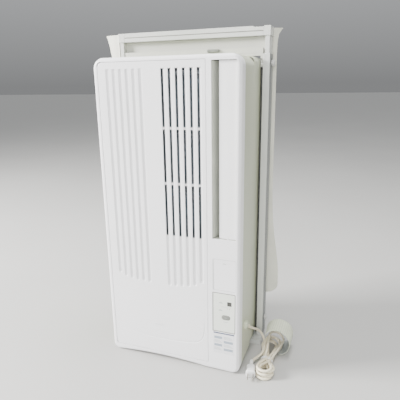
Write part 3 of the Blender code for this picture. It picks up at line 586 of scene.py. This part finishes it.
def cord_tie():
    """Two turns of a flat tie round the waist of the hank."""
    shapes, sides, squared = [], 28, 0.82
    section = ((-2.2, 0), (-1.6, 0.9), (1.6, 0.9), (2.2, 0), (1.6, -0.5), (-1.6, -0.5))
    for y, lean in ((TIE_Y - 3.0, 0.5), (TIE_Y + 2.4, -0.4)):
        rings = []
        for i in range(sides):
            angle = 2 * math.pi * i / sides
            c, s = math.cos(angle), math.sin(angle)
            reach_x = math.copysign(abs(c) ** squared, c)
            reach_z = math.copysign(abs(s) ** squared, s)
            rings.append([(TIE_X + (14.0 + out) * reach_x, y + across + lean * s,
                           TIE_Z + (9.9 + out) * reach_z) for across, out in section])
        corners = [corner for ring in rings for corner in ring]
        faces, count = [], len(section)
        for i in range(sides):
            a, b = i * count, ((i + 1) % sides) * count
            for k in range(count):
                after = (k + 1) % count
                faces.append([a + k, a + after, b + after, b + k])
        shapes.append((corners, faces))
    return simple("cord_tie_band", merged(*shapes), "plug", slot="cord", node="cord_tie", smooth=50)


def plug():
    rings = []
    for y, half, low, top in ((0.2, 10.2, 1.4, 17.6), (0.8, 11.2, 0.6, 18.6), (3.6, 11.8, 0.2, 19.4),
                              (4.6, 11.4, 0.6, 19.0), (5.2, 10.6, 1.2, 18.2), (13, 9.8, 1.6, 17.4),
                              (22, 10.4, 1.2, 18.0), (26.5, 10.8, 0.8, 18.3), (28.5, 10.0, 1.4, 17.6),
                              (32, 7.4, 3.2, 15.8), (35.5, 5.4, 4.9, 14.3)):
        rings.append(ring_at(rounded(PLUG_X - half, PLUG_X + half, low, top, 0.5 * half, 6), y))
    for rib in range(5):
        y = 37.2 + 3.5 * rib
        half = 4.9 - 0.16 * rib
        for reach, back in ((half - 0.7, -0.4), (half, 0.0), (half, 1.5), (half - 0.7, 1.9)):
            outline = rounded(PLUG_X - reach, PLUG_X + reach, 9.6 - reach, 9.6 + reach, 0.8 * reach, 6)
            rings.append(ring_at(outline, y + back))
    body_shape = turned_about(loft(rings), *PLUG_LEAN)
    body = simple("plug_moulding", body_shape, "plug", slot="cord", node="plug_body", smooth=50)
    blades = []
    for x in PIN_PLACES:
        outline = [(0.6, 6.0), (-15.4, 6.0), (-16.9, 7.2), (-16.9, 10.8), (-15.4, 12.0), (0.6, 12.0)]
        blades.append(prism(outline, "X", x - 0.75, x + 0.75))
    holes = merged(*[cylinder("X", -12.6, 9.0, 1.6, x - 2, x + 2, 16) for x in PIN_PLACES])
    pins = solid("plug_blades", turned_about(merged(*blades), *PLUG_LEAN), "pins", node="plug_pins",
                 cuts=[turned_about(holes, *PLUG_LEAN)], bevel=0.25)
    return body, pins


def wrap_place(share, depth, lift=0.0):
    """A place on the wrap: share runs along its curl, depth from its front edge to its rear one."""
    angle = math.radians(160 - 240 * share)
    flare = 1.2 * math.sin(9 * share + 2.2 * depth) + 0.5 * math.sin(23 * share - 3 * depth)
    radius = WRAP_RADIUS + 0.1 + 0.45 * flare + lift
    if share < 0.12:
        radius -= (0.12 - share) * 30 * (1 - depth)
    y = WRAP_FRONT + 0.6 + (WRAP_BACK - WRAP_FRONT - 1.2) * depth
    return WRAP_X + radius * math.cos(angle), y, WRAP_Z + radius * math.sin(angle)


def wrap_dimples():
    """Rows of small raised dots on the wrap's outer face."""
    dots, columns, rows = [], 24, 10
    for i in range(columns):
        for k in range(rows):
            share, depth = 0.05 + 0.9 * i / (columns - 1), 0.06 + 0.88 * (k + 0.5 * (i % 2)) / (rows - 0.5)
            rings = []
            for size, lift in ((1.0, 0.0), (0.95, 0.3), (0.45, 0.6)):
                ring = []
                for corner in range(8):
                    angle = 2 * math.pi * corner / 8
                    ring.append(wrap_place(share + size * 0.0072 * math.cos(angle),
                                           depth + size * 0.0175 * math.sin(angle), lift))
                rings.append(ring)
            dots.append(loft(rings))
    # The dots are coloured darker than the sheet: painted shade of the embossing.
    return simple("wrap_dimples", merged(*dots), "dot_shade", slot="wrap", smooth=60)


def wrap():
    """A strip of soft embossed sheet curled round the back of the hank."""
    steps, rows = 56, 16
    corners = [wrap_place(i / steps, k / rows) for i in range(steps + 1) for k in range(rows + 1)]
    faces = []
    for i in range(steps):
        for k in range(rows):
            a = i * (rows + 1) + k
            faces.append([a, a + 1, a + rows + 2, a + rows + 1])
    mesh = mesh_of("cord_wrap_sheet", (corners, faces))
    work = bmesh.new()
    work.from_mesh(mesh)
    outward = 0.0
    for face in work.faces:
        middle = face.calc_center_median()
        outward += face.normal.dot(middle - at(WRAP_X, middle.y, WRAP_Z))
    if outward < 0:
        bmesh.ops.reverse_faces(work, faces=work.faces)
    work.to_mesh(mesh)
    work.free()
    made = piece("cord_wrap_sheet", mesh, "wrap", node="cord_wrap", smooth=60)
    # The inner face takes the darker grey-blue: painted shade inside the curl.
    mesh.materials.append(LOOKS["wrap_inner_painted_shade"])
    thick = made.modifiers.new("thickness", "SOLIDIFY")
    thick.thickness = 1.0 * MM
    thick.offset = -1.0
    thick.material_offset = 1
    return made


def lead():
    cord = mains_cord()
    relief = cord_relief()
    tie = cord_tie()
    body, pins = plug()
    sheet = wrap()
    dimples = wrap_dimples()


# The unit's shells.
def front_bezel():
    shell = layered(arched_outline, [*edge_levels(8.0, 10), (0, BEZEL_DEPTH)])
    inside = prism(arched_outline(3.0), "Y", 3.0, BEZEL_DEPTH + 1)
    door = plate(DOOR_LEFT - 0.6, DOOR_RIGHT + 0.6, DOOR_LOW - 0.6, DOOR_TOP + 0.6, (4, 3, 3, 6), -1, 4)
    outlet = plate(OUTLET_LEFT, OUTLET_RIGHT, OUTLET_LOW, OUTLET_TOP, (1.5, 1.5, 4, 1.5), -1, 4)
    panel = plate(OUTLET_LEFT, OUTLET_RIGHT, PANEL_LOW, PANEL_TOP, 1.5, -1, 4)
    recess = plate(110, 166, 222, 300, 3, -1, 0.8)
    thin_line = box(119, 157, 0.2, 1.4, 290.6, 291.4)
    pins = pins_at(*HINGE, 1.8, 12, (DOOR_TOP - 9, DOOR_TOP + 5.5), (DOOR_LOW - 5.5, DOOR_LOW + 9))
    filter_slot = box(-176, -171, 17.4, 22.6, 39.7, 720.3)
    cuts = [inside, door, merged(outlet, panel), recess, thin_line, filter_slot, pins]
    solid("bezel_shell", shell, "shell", cuts=cuts, node="front_bezel", bevel=0.35)
    # Painted shade: a thin grey ring drawn round the recess's edge, where the step would shade.
    solid("recess_edge_shade", plate(109.4, 166.4, 221.4, 300.6, 3.4, -0.02, 0.6), "faint", slot="shell",
          cuts=[plate(110.4, 165.4, 222.4, 299.6, 2.8, -1, 2)])
    dash = box(134, 142, 0.45, 0.95, 289.4, 290.4)
    simple("recess_mark", dash, "mark", slot="shell")


def flute_bottom(x):
    """The flutes' lower ends lie on a shallow arc."""
    return 214 + 18 * ((x + 30) / 112) ** 4


def flute(left, width, depth, scoop=7.5):
    """A cutter for one flute: a long left slope, a steep right wall, and a scooped lower end."""
    section = [(0.0, -1.0), (0.0, 0.0), (0.7, 0.08), (4.6, 0.9), (5.6, 1.0), (width - 2.4, 1.0),
               (width - 1.7, 0.9), (width - 0.5, 0.1), (width, 0.0), (width, -1.0)]
    low = flute_bottom(left + 0.5 * width)
    rings = []
    for i in range(7):
        share = 1 - math.cos(0.5 * math.pi * i / 6)
        round_share = math.sqrt(max(0.0, 1 - (1 - share) ** 2))
        ring = []
        for u, v in section:
            x = left + 0.5 * width + (u - 0.5 * width) * (0.5 + 0.5 * round_share)
            ring.append((x, v * depth * round_share if v > 0 else v, low + scoop * share))
        rings.append(ring)
    rings.append([(left + u, v * depth if v > 0 else v, 725.0) for u, v in section])
    return loft(rings)


def panel_line():
    """The shallow line across the lower part of the door, which turns up at its right end."""
    route = [(-132, 0, 72), (-110, 0, 66.5), (-85, 0, 62.5), (-60, 0, 60.5), (-30, 0, 60), (0, 0, 61),
             (30, 0, 63), (54, 0, 66), (66, 0, 69), (77, 0, 76), (84, 0, 87), (87, 0, 100), (88, 0, 118),
             (88.3, 0, 136)]
    points = smooth_route(route, 5.0)
    rings = []
    for i, point in enumerate(points):
        before, after = points[max(0, i - 1)], points[min(len(points) - 1, i + 1)]
        side = Vector((-(after - before).z, 0, (after - before).x)).normalized()
        fade = min(1.0, i / 8, (len(points) - 1 - i) / 5)
        ring = []
        for k in range(8):
            angle = 2 * math.pi * k / 8
            place = point + side * 1.9 * math.cos(angle)
            ring.append((place.x, -0.95 + 0.75 * fade + 1.1 * math.sin(angle), place.z))
        rings.append(ring)
    return loft(rings)


def door_outline(inset):
    return rounded(DOOR_LEFT + inset, DOOR_RIGHT - inset, DOOR_LOW + inset, DOOR_TOP - inset,
                   (8.4, 2.4, 2.4, 12.4), 10)


def intake_door():
    panel = layered(door_outline, [*edge_levels(1.8, 5), (0, DOOR_DEPTH)])
    inside = plate(DOOR_LEFT + 5, DOOR_RIGHT - 3, DOOR_LOW + 3, DOOR_TOP - 3, (2, 2, 2, 8), 3.8,
                   DOOR_DEPTH + 1)
    closed = [flute(-143.0 + 16.5 * i, 10.2, 2.8) for i in range(FLUTES)]
    open_flutes = [flute(-6.8 + SLOT_PITCH * i, 10.6, 2.8) for i in range(FLUTES)]
    slots = []
    for i in range(FLUTES):
        left = SLOT_LEFT + SLOT_PITCH * i
        for low, top in SLOT_SPANS:
            slots.append(plate(left, left + SLOT_WIDTH, low, top, 0.8, 0.4, 5, 3))
    pins = pins_at(*HINGE, 1.5, 16, (DOOR_TOP - 10, DOOR_TOP + 5), (DOOR_LOW - 5, DOOR_LOW + 10))
    cuts = [inside, merged(*closed, *open_flutes), merged(*slots), panel_line()]
    solid("door_panel", panel, "shell", joins=[pins], cuts=cuts, body="intake_door", node="intake_door",
          bevel=0.3, smooth=22)
    badge = prism(stadium(-35, 100, 12, 2.6), "Y", -0.35, 0.2)
    simple("door_badge", badge, "label", body="intake_door", slot="shell", bevel=0.2)
    catch = merged(box(84, 94, 14, 24, 372, 388), box(84, 88, 22, 26, 374, 386))
    simple("door_catch", catch, "shell", body="intake_door", bevel=0.4)


def casing_outline(inset):
    return case_outline(inset, CASING_LOW, 14, 14)


def cover_outline(inset):
    return rounded(-161 + inset, 161 - inset, CASING_LOW + inset, 742 - inset, 8 - inset)


def casings():
    outer = prism(case_outline(), "Y", BEZEL_DEPTH + 0.3, INDOOR_DEPTH)
    inner = prism(case_outline(2.5), "Y", BEZEL_DEPTH - 1, INDOOR_DEPTH + 1)
    solid("indoor_shell", outer, "case", cuts=[inner], node="indoor_case", bevel=0.5)

    front, back = INDOOR_DEPTH + 0.3, CASING_DEPTH
    shell = layered(casing_outline, [(0, front), (0, back - 4), (0.4, back - 2.3), (1.2, back - 1.2),
                                     (2.3, back - 0.4), (4, back)])
    inner = prism(casing_outline(2), "Y", front - 1, back - 3)
    opening = box(-159.3, 159.3, back - 4, back + 1, CASING_LOW + 2.2, 740)
    solid("casing_shell", shell, "case", cuts=[inner, opening], node="rear_casing", bevel=0.5)


def rear_cover():
    front = CASING_DEPTH + 0.3
    cover = layered(cover_outline, [(0, front), (0, DEPTH - 5), (0.5, DEPTH - 3), (1.5, DEPTH - 1.5),
                                    (3, DEPTH - 0.5), (5, DEPTH)])
    inner = plate(-159, 159, CASING_LOW + 2, 740, 6, front - 1, DEPTH - 2)
    slots = []
    for row in range(32):
        z = 300 + 13 * row
        for x in (-146, -48, 50):
            slots.append(plate(x, x + 92, z, z + 8, 3.9, DEPTH - 4, DEPTH + 1, 5))
    for row in range(5):
        z = 60 + 30 * row
        slots.append(plate(-60, 60, z, z + 6, 2.9, DEPTH - 4, DEPTH + 1, 5))
    solid("rear_grille", cover, "case", cuts=[inner, merged(*slots)], node="rear_cover", bevel=0.4)
    profile = [(3.6, DEPTH - 3.5), (3.6, DEPTH - 1.2), (3.1, DEPTH - 0.6), (1.8, DEPTH - 0.3)]
    screws = [turned("Y", x, z, profile, 20) for x in (-152, 152) for z in (24, 270, 510, 731)]
    simple("rear_screws", merged(*screws), "screw", slot="steel", smooth=40)


def fin_pack(name, left, right, front, back, low, top, pitch, node):
    """Thin upright aluminium fins at an even pitch."""
    count = int((right - left) / pitch)
    starts = [left + pitch * i for i in range(count + 1)]
    plates = [box(start, start + 0.35, front, back, low, top) for start in starts]
    backing = box(left, right, front + 5, back - 5, low + 1, top - 1)
    simple(name, merged(*plates, backing), "fins", node=node)


def air_filter():
    """The filter's frame with its ribs, and a net of fine strands."""
    left, right, low, top = -HALF_WIDTH, 90.0, 40.0, 720.0
    rails = [box(left, right, 17.7, 22.3, low, low + 9), box(left, right, 17.7, 22.3, top - 9, top),
             box(left, left + 9, 17.7, 22.3, low, top), box(right - 9, right, 17.7, 22.3, low, top)]
    for column in (1, 2):
        x = left + 9 + column * 84.5
        rails.append(box(x - 2, x + 2, 18, 22, low + 5, top - 5))
    for row in range(1, 5):
        z = low + 134 * row + 8
        rails.append(box(left + 5, right - 5, 18, 22, z - 2, z + 2))
    solid("filter_frame", rails[0], "filter", joins=rails[1:],
          body="air_filter", node="air_filter", bevel=0.4)
    strands = []
    pitch, thick = 2.6, 0.45
    for i in range(int((right - left - 14) / pitch)):
        x = left + 8 + pitch * i
        strands.append(box(x, x + thick, 19.6, 20.05, low + 6, top - 6))
    for i in range(int((top - low - 14) / pitch)):
        z = low + 8 + pitch * i
        strands.append(box(left + 6, right - 6, 20.05, 20.5, z, z + thick))
    simple("filter_strands", merged(*strands), "filter", body="air_filter")
    tab = prism(stadium(20, 380, 5, 3), "X", left, left + 1.2)
    simple("filter_tab", tab, "shell", body="air_filter", slot="filter", bevel=0.3)


# The outlet and the controls.
def vane_side(bulge, shares):
    """One face of the vane: a slightly crowned line across it."""
    line = []
    for share in shares:
        crown = bulge * math.sqrt(math.sin(math.pi * min(1.0, max(0.0, 0.04 + 0.92 * share))))
        line.append((VANE_X - VANE_HALF + 2 * VANE_HALF * share, VANE_Y + crown))
    return line


def air_vane():
    steps = 14
    shares = [i / steps for i in range(steps + 1)]
    outline = vane_side(-1.45, shares) + vane_side(1.2, [1 - share for share in shares])
    blade = prism(outline, "Z", OUTLET_LOW + 0.5, OUTLET_TOP - 0.7)
    pins = pins_at(VANE_X, VANE_Y, 2, 16, (OUTLET_LOW - 3, OUTLET_LOW + 8), (OUTLET_TOP - 8, OUTLET_TOP + 3))
    solid("vane_blade", blade, "vane", joins=[pins], body="air_vane", node="air_vane", smooth=40, bevel=0.2)


def outlet_guide():
    """The duct's left wall, which slopes inwards behind the gap beside the vane."""
    outline = [(OUTLET_LEFT + 0.4, 3.6), (112.0, 9.0), (115.5, 16.0), (118.5, 25.5), (106.6, 25.5),
               (106.6, 3.6)]
    simple("outlet_guide", prism(outline, "Z", OUTLET_LOW + 1, OUTLET_TOP - 1), "duct", smooth=50)


def side_gap_shade_strips():
    """Dark strips with the foam look that close the gap between the unit and the frame's side rails: painted
    shade for the dark gap.
    """
    near, far = HALF_WIDTH + 0.3, RAIL_INNER - 0.4
    strips = [across_box(side, near, far, 178.5, 189.0, 14.0, 726.0) for side in SIDES]
    simple("side_gap_shade_strips", merged(*strips), "foam", bevel=0.4)


def panel_plate(inset, radius, front, back):
    return plate(OUTLET_LEFT + inset, OUTLET_RIGHT - inset, PANEL_LOW + inset, PANEL_TOP - inset, radius,
                 front, back)


def button_outline(inset):
    return stadium(BUTTON_X, BUTTON_Z, 10.6 - inset, 6.1 - inset)


def controls():
    film = panel_plate(1.2, 1.4, 0.35, 3.0)
    window = plate(145, 156, 183, 194, 1.2, -1, 4)
    hole = prism(stadium(BUTTON_X, BUTTON_Z, 11.0, 6.5), "Y", -1, 4)
    solid("control_plate", film, "panel", cuts=[merged(window, hole)], node="control_panel", bevel=0.25)
    # A dark ring over the gap round the control panel: painted shade in the gap.
    solid("control_gap_shade", panel_plate(-0.5, 1.8, -0.02, 2.0), "painted_gap_shade", slot="panel",
          cuts=[panel_plate(1.3, 1.4, -1, 4)])
    glass = plate(145.3, 155.7, 183.3, 193.7, 1.0, 0.15, 2.9)
    simple("display_glass", glass, "display", node="display_window", bevel=0.25)
    marks = [box(125, 134, 0.22, 0.4, 188.6, 190.2), box(127, 132, 0.22, 0.4, 191.4, 192.2),
             box(131, 155, 0.22, 0.4, 179.6, 180.2), box(124, 133, 0.22, 0.4, 168.8, 170.4),
             box(126, 131, 0.22, 0.4, 171.4, 172.2), box(136, 148, 0.22, 0.4, 139.4, 140.2)]
    simple("panel_marks", merged(*marks), "mark", slot="panel")
    lamps = [turned("Y", x, 176.2, [(1.1, 0.2), (1.1, 0.3), (0.8, 0.1)], 14) for x in (146, 151)]
    simple("panel_lamps", merged(*lamps), "seam", slot="display")

    cap = layered(button_outline, [(0, 4.4), (0, 0.7), (0.15, 0.3), (0.5, 0.0), (1.2, -0.2), (2.6, -0.33),
                                   (4.2, -0.39)])
    flange = prism(stadium(BUTTON_X, BUTTON_Z, 13, 8.5), "Y", 3.4, 5.0)
    solid("button_cap", cap, "button", joins=[flange], body="power_button", node="power_button", smooth=40)
    mark = prism(stadium(BUTTON_X, BUTTON_Z, 3.4, 0.45), "Y", -0.4, -0.2)
    simple("button_mark", mark, "mark", body="power_button", slot="button")


def front_label():
    """A blank label under the controls: a dark band above rows of pale bars, with no lettering."""
    film = plate(110.5, 163.5, 52, 110.2, 1.0, -0.12, 0.1)
    simple("front_label", film, "label", slot="shell")
    simple("front_label_band", box(111, 163, -0.2, 0.0, 106.2, 109.6), "navy", slot="shell")
    bars, seams, proud = [], [], -0.17
    for row in range(4):
        z = 96.5 - 10.4 * row
        for x, width in ((113, 20), (137, 23)):
            if (row + (x > 130)) % 2 == 0:
                bars.append(box(x, x + width, proud, 0.0, z - 4.4, z + 2.2))
            else:
                for line in range(3):
                    rise = z + 2.6 * line
                    seams.append(box(x, x + width - 3 * line, proud, 0.0, rise - 3.8, rise - 3.0))
    simple("front_label_bars", merged(*bars), "pale_blue", slot="shell")
    simple("front_label_lines", merged(*seams), "mark", slot="shell")


# The mounting frame.
def across_box(side, x0, x1, y0, y1, z0, z1):
    near, far = sorted((side * x0, side * x1))
    return box(near, far, y0, y1, z0, z1)


def rail_section(side, x0, x1, y0, y1, low, high, grooves):
    """A folded rail: a box with shallow grooves along its outer face."""
    outer = across_box(side, x0, x1, y0, y1, low, high)
    cuts = [across_box(side, x1 - 0.7, x1 + 1, y, y + 1.4, low - 1, high + 1) for y in grooves]
    return outer, cuts


def side_frames():
    for side, name in ((-1, "left"), (1, "right")):
        outer, cuts = rail_section(side, RAIL_INNER, RAIL_OUTER, FRAME_FRONT, FRAME_BACK, 13.0, RAIL_TOP,
                                   (172.0, 190.0, 199.0))
        inner = across_box(side, RAIL_INNER + 1.9, RAIL_OUTER - 1.6, FRAME_FRONT + 1.9, FRAME_BACK - 1.9,
                           15.7, RAIL_TOP + 1)
        lip = across_box(side, RAIL_INNER + 4.4, RAIL_INNER + 5.4, FRAME_FRONT - 1, FRAME_FRONT + 0.8,
                         12, RAIL_TOP + 1)
        mesh = solid(f"{name}_rail_section", outer, "frame", cuts=[inner, *cuts, lip],
                     node=f"frame_{name}_rail", bevel=0.5).data
        # The rails' outward faces get the dark grey: a painted reflection of a dark wall, not a grey part.
        mesh.materials.append(LOOKS["painted_rail_reflection"])
        for face in mesh.polygons:
            beyond = side * face.center.x > (RAIL_OUTER - 1.2) * MM
            face.material_index = 1 if beyond and side * face.normal.x > 0.9 else 0
        outer, cuts = rail_section(side, RAIL_INNER + 4, RAIL_OUTER - 1.9, FRAME_FRONT + 2.2,
                                   FRAME_BACK - 2.2, 200, FRAME_TOP - 21.3, (180.0,))
        solid(f"{name}_slider", outer, "frame", cuts=cuts,
              body="extension", node=f"extension_{name}_rail", bevel=0.5)
        for purpose, z in (("clamp", 62.0), ("lock", 736.0)):
            knob(side, name, purpose, z)


def knob(side, name, purpose, z):
    """A thumb screw: a scalloped grip with a domed face."""
    face = RAIL_OUTER + 0.3
    rings = []
    for out, scale in ((0.0, 0.62), (0.7, 0.66), (1.2, 0.98), (2.0, 1.0), (6.6, 1.0), (7.4, 0.95),
                       (7.9, 0.82), (8.15, 0.5)):
        ring = []
        for i in range(60):
            angle = 2 * math.pi * i / 60
            scallop = 1 - 0.07 * (0.5 + 0.5 * math.cos(10 * angle)) ** 2
            radius = 7.5 * scale * (scallop if 1.0 < out < 7.6 else 1.0)
            ring.append((side * (face + out), 185 + radius * math.cos(angle), z + radius * math.sin(angle)))
        rings.append(ring)
    simple(f"{purpose}_knob_{name}", loft(rings), "knob", body=f"{purpose}_screw_{name}",
           node=f"{purpose}_screw_{name}", smooth=40)


def frame_bars():
    sill = box(-RAIL_OUTER, RAIL_OUTER, 140, FRAME_BACK, 0, 12.7)
    groove = box(-178, 178, 146, 154, 9.7, 20)
    front_line = box(-RAIL_OUTER - 1, RAIL_OUTER + 1, 139, 140.7, 7.6, 8.6)
    solid("sill_section", sill, "frame", cuts=[groove, front_line], node="frame_sill", bevel=0.6)

    bar = box(-RAIL_INNER + 0.3, RAIL_INNER - 0.3, 166, 176, 752.5, 771)
    tabs = [across_box(side, HALF_WIDTH + 1, RAIL_INNER - 0.3, 166, 172, 728, 754) for side in SIDES]
    holes = merged(*[cylinder("Y", side * 178.6, 745, 1.6, 165, 173, 16) for side in SIDES])
    line = box(-170, 170, 165.4, 166.6, 757.6, 758.4)
    solid("crossbar_section", bar, "board", joins=tabs, cuts=[holes, line],
          slot="frame", node="frame_crossbar", bevel=0.4)
    heads = [turned("Y", side * 178.6, 734, [(2.6, 166.5), (2.6, 165.4), (2.0, 164.9), (0.9, 164.7)], 20)
             for side in SIDES]
    simple("tab_screws", merged(*heads), "screw", slot="steel", smooth=40)

    rail = box(-RAIL_OUTER, RAIL_OUTER, FRAME_FRONT, FRAME_BACK, FRAME_TOP - 21, FRAME_TOP)
    groove = box(-RAIL_OUTER + 16.5, RAIL_OUTER - 16.5, 164, 167, 806.0, 808.2)
    step = box(158, RAIL_OUTER - 15, 164, 206, FRAME_TOP - 2.2, FRAME_TOP + 1)
    joints = merged(*[across_box(side, 181.4, 182.0, 164, 165.8, FRAME_TOP - 22, FRAME_TOP + 1)
                      for side in SIDES])
    solid("top_rail_section", rail, "frame", cuts=[groove, step, joints],
          body="extension", node="extension_top_rail", bevel=0.6)

    # A dark strip laid in the top rail's groove: painted shade in the groove.
    shade = box(-181.2, 181.2, 165.6, 166.9, 806.05, 808.15)
    simple("top_rail_groove_shade", shade, "painted_gap_shade", body="extension", slot="frame")

    board = box(-185.7, 185.7, 181, 185, 757.5, 796.7)
    lines = [box(-178, 178, 180, 181.25, z, z + 0.5) for z in (768, 779, 790)]
    solid("board_sheet", board, "board", cuts=lines, body="extension", node="filler_board", bevel=0.2)


def latch_outline(inset):
    return stadium(60, 767, 16 - inset, 3.6 - inset)


def sash_latch():
    lever = layered(latch_outline, [(0, 165.6), (0, 162.4), (0.3, 161.6), (1.0, 161.1), (2.0, 161.0)])
    boss = turned("Y", 48, 767, [(2.6, 161.5), (2.6, 160.3), (2.2, 160.0), (0.8, 159.95)], 20)
    grip = merged(*[box(66 + 2.6 * i, 67.2 + 2.6 * i, 160.5, 161.6, 764.6, 769.4) for i in range(3)])
    solid("latch_lever", lever, "button", joins=[boss, grip],
          body="sash_latch", node="sash_latch", bevel=0.2, smooth=40)


def left_reach(share):
    return 20 + 4 * share + 20 * share**14


def right_reach(share):
    """The right lip is broad and round near its foot, narrow along the rail, and flicks out at the top."""
    broad = 8 + 21 * math.exp(-(max(share - 0.06, 0.0) / 0.19) ** 2) + 12 * share**60
    foot = math.sqrt(1 - (1 - min(share / 0.03, 1.0)) ** 2)
    return 6 + (broad - 6) * foot


def seal_lips():
    """Soft lips on the frame: the left on its rail's outer face, the right behind its rail."""
    thick, steps, top, face = 1.4, 90, FRAME_TOP - 2, RAIL_OUTER + 0.3
    rings = []
    for i in range(steps + 1):
        share = i / steps
        out = left_reach(share)
        lip = []
        for k in range(1, 10):
            u = k / 9
            x = 200.2 + (RAIL_OUTER + out - 200.2) * u
            lip.append((x, 168.6 + 0.22 * out * u**1.7 + 0.3 * math.sin(31 * share + 2 * u) * u))
        line = [(face, 167.0), (200.2, 168.0), *lip, *[(x, y + thick) for x, y in reversed(lip)],
                (200.2, 171.2), (face, 174.0)]
        rings.append([(-x, y, 150 + (top - 150) * share) for x, y in line])
    simple("left_seal_lip", loft(rings), "seal", node="left_seal_fin", smooth=40)

    rings = []
    face = FRAME_BACK + 0.3
    for i in range(steps + 1):
        share = (i / steps) ** 1.6
        out = right_reach(share)
        line = []
        for k in range(11):
            x = RAIL_OUTER - 12 + (12 + out) * k / 10
            beyond = max(0.0, (x - RAIL_OUTER + 1) / (out + 1))
            wave = 0.25 * math.sin(38 * share + 0.3 * k) * beyond
            line.append((x, face + max(0.0, 0.45 * out * beyond**1.6 + wave)))
        z = 128 + (top - 128) * share
        rings.append([(x, y, z) for x, y in line] + [(x, y + thick, z) for x, y in reversed(line)])
    simple("right_seal_lip", loft(rings), "seal", node="right_seal_fin", smooth=40)


# The room.
def studio():
    data = bpy.data.meshes.new("floor")
    reach = 30.0
    data.from_pydata([(-reach, -reach, 0), (reach, -reach, 0), (reach, reach, 0), (-reach, reach, 0)], [],
                     [(0, 1, 2, 3)])
    floor = placed("floor", data)
    data.materials.append(surface("pale_floor", (0.46, 0.455, 0.44), 0.6, shift=0.03, patch=1.2, grain=60.0))
    world = bpy.data.worlds.new("studio")
    bpy.context.scene.world = world
    world.use_nodes = True
    background = world.node_tree.nodes["Background"]
    background.inputs["Strength"].default_value = 0.8
    place = add_node(world, "ShaderNodeTexCoord")
    parts = add_node(world, "ShaderNodeSeparateXYZ")
    sky = ramp_between(world, 0.0, (0.30, 0.305, 0.31), 0.45, (0.86, 0.88, 0.90))
    link(world, place, "Generated", parts, "Vector")
    link(world, parts, "Z", sky, "Fac")
    link(world, sky, "Color", background, "Color")
    lamps = [("key", (-2.75, -1.3, 1.75), (0, 0, 0.4), 0.9, 430.0, (1.0, 0.99, 0.975)),
             ("front", (0.5, -3.2, 1.7), (0, 0, 0.4), 1.8, 80.0, (1.0, 1.0, 1.0)),
             ("side", (2.8, -0.9, 1.3), (0, 0, 0.35), 2.0, 22.0, (0.98, 1.0, 0.90)),
             ("top", (0.2, 0.3, 2.9), (0, 0, 0.4), 1.2, 80.0, (1.0, 1.0, 1.0))]
    for name, place, target, size, power, colour in lamps:
        light = bpy.data.lights.new(name, "AREA")
        light.size = size
        light.energy = power
        light.color = colour
        aim = (Vector(target) - Vector(place)).to_track_quat("-Z", "Y").to_matrix().to_4x4()
        placed(name, light).matrix_world = Matrix.Translation(place) @ aim


def paint_nodes():
    """Every CAD node that stays gets its slot's material."""
    slot_of = {part["node"]: part["material_slot"] for part in frame["record"]["subparts"]}
    for name, node in frame["nodes"].items():
        node.data.materials.clear()
        node.data.materials.append(LOOKS[slot_of[name]])


camera()
paint_nodes()
lead()
front_bezel()
intake_door()
casings()
rear_cover()
fin_pack("evaporator_fin_pack", -152, 84, 32, 54, 62, 730, 1.8, "evaporator_fins")
fin_pack("condenser_fin_pack", -138, 138, 202, 220, 300, 722, 2.2, "condenser_fins")
air_filter()
air_vane()
outlet_guide()
controls()
front_label()
side_frames()
frame_bars()
sash_latch()
seal_lips()
side_gap_shade_strips()
studio()
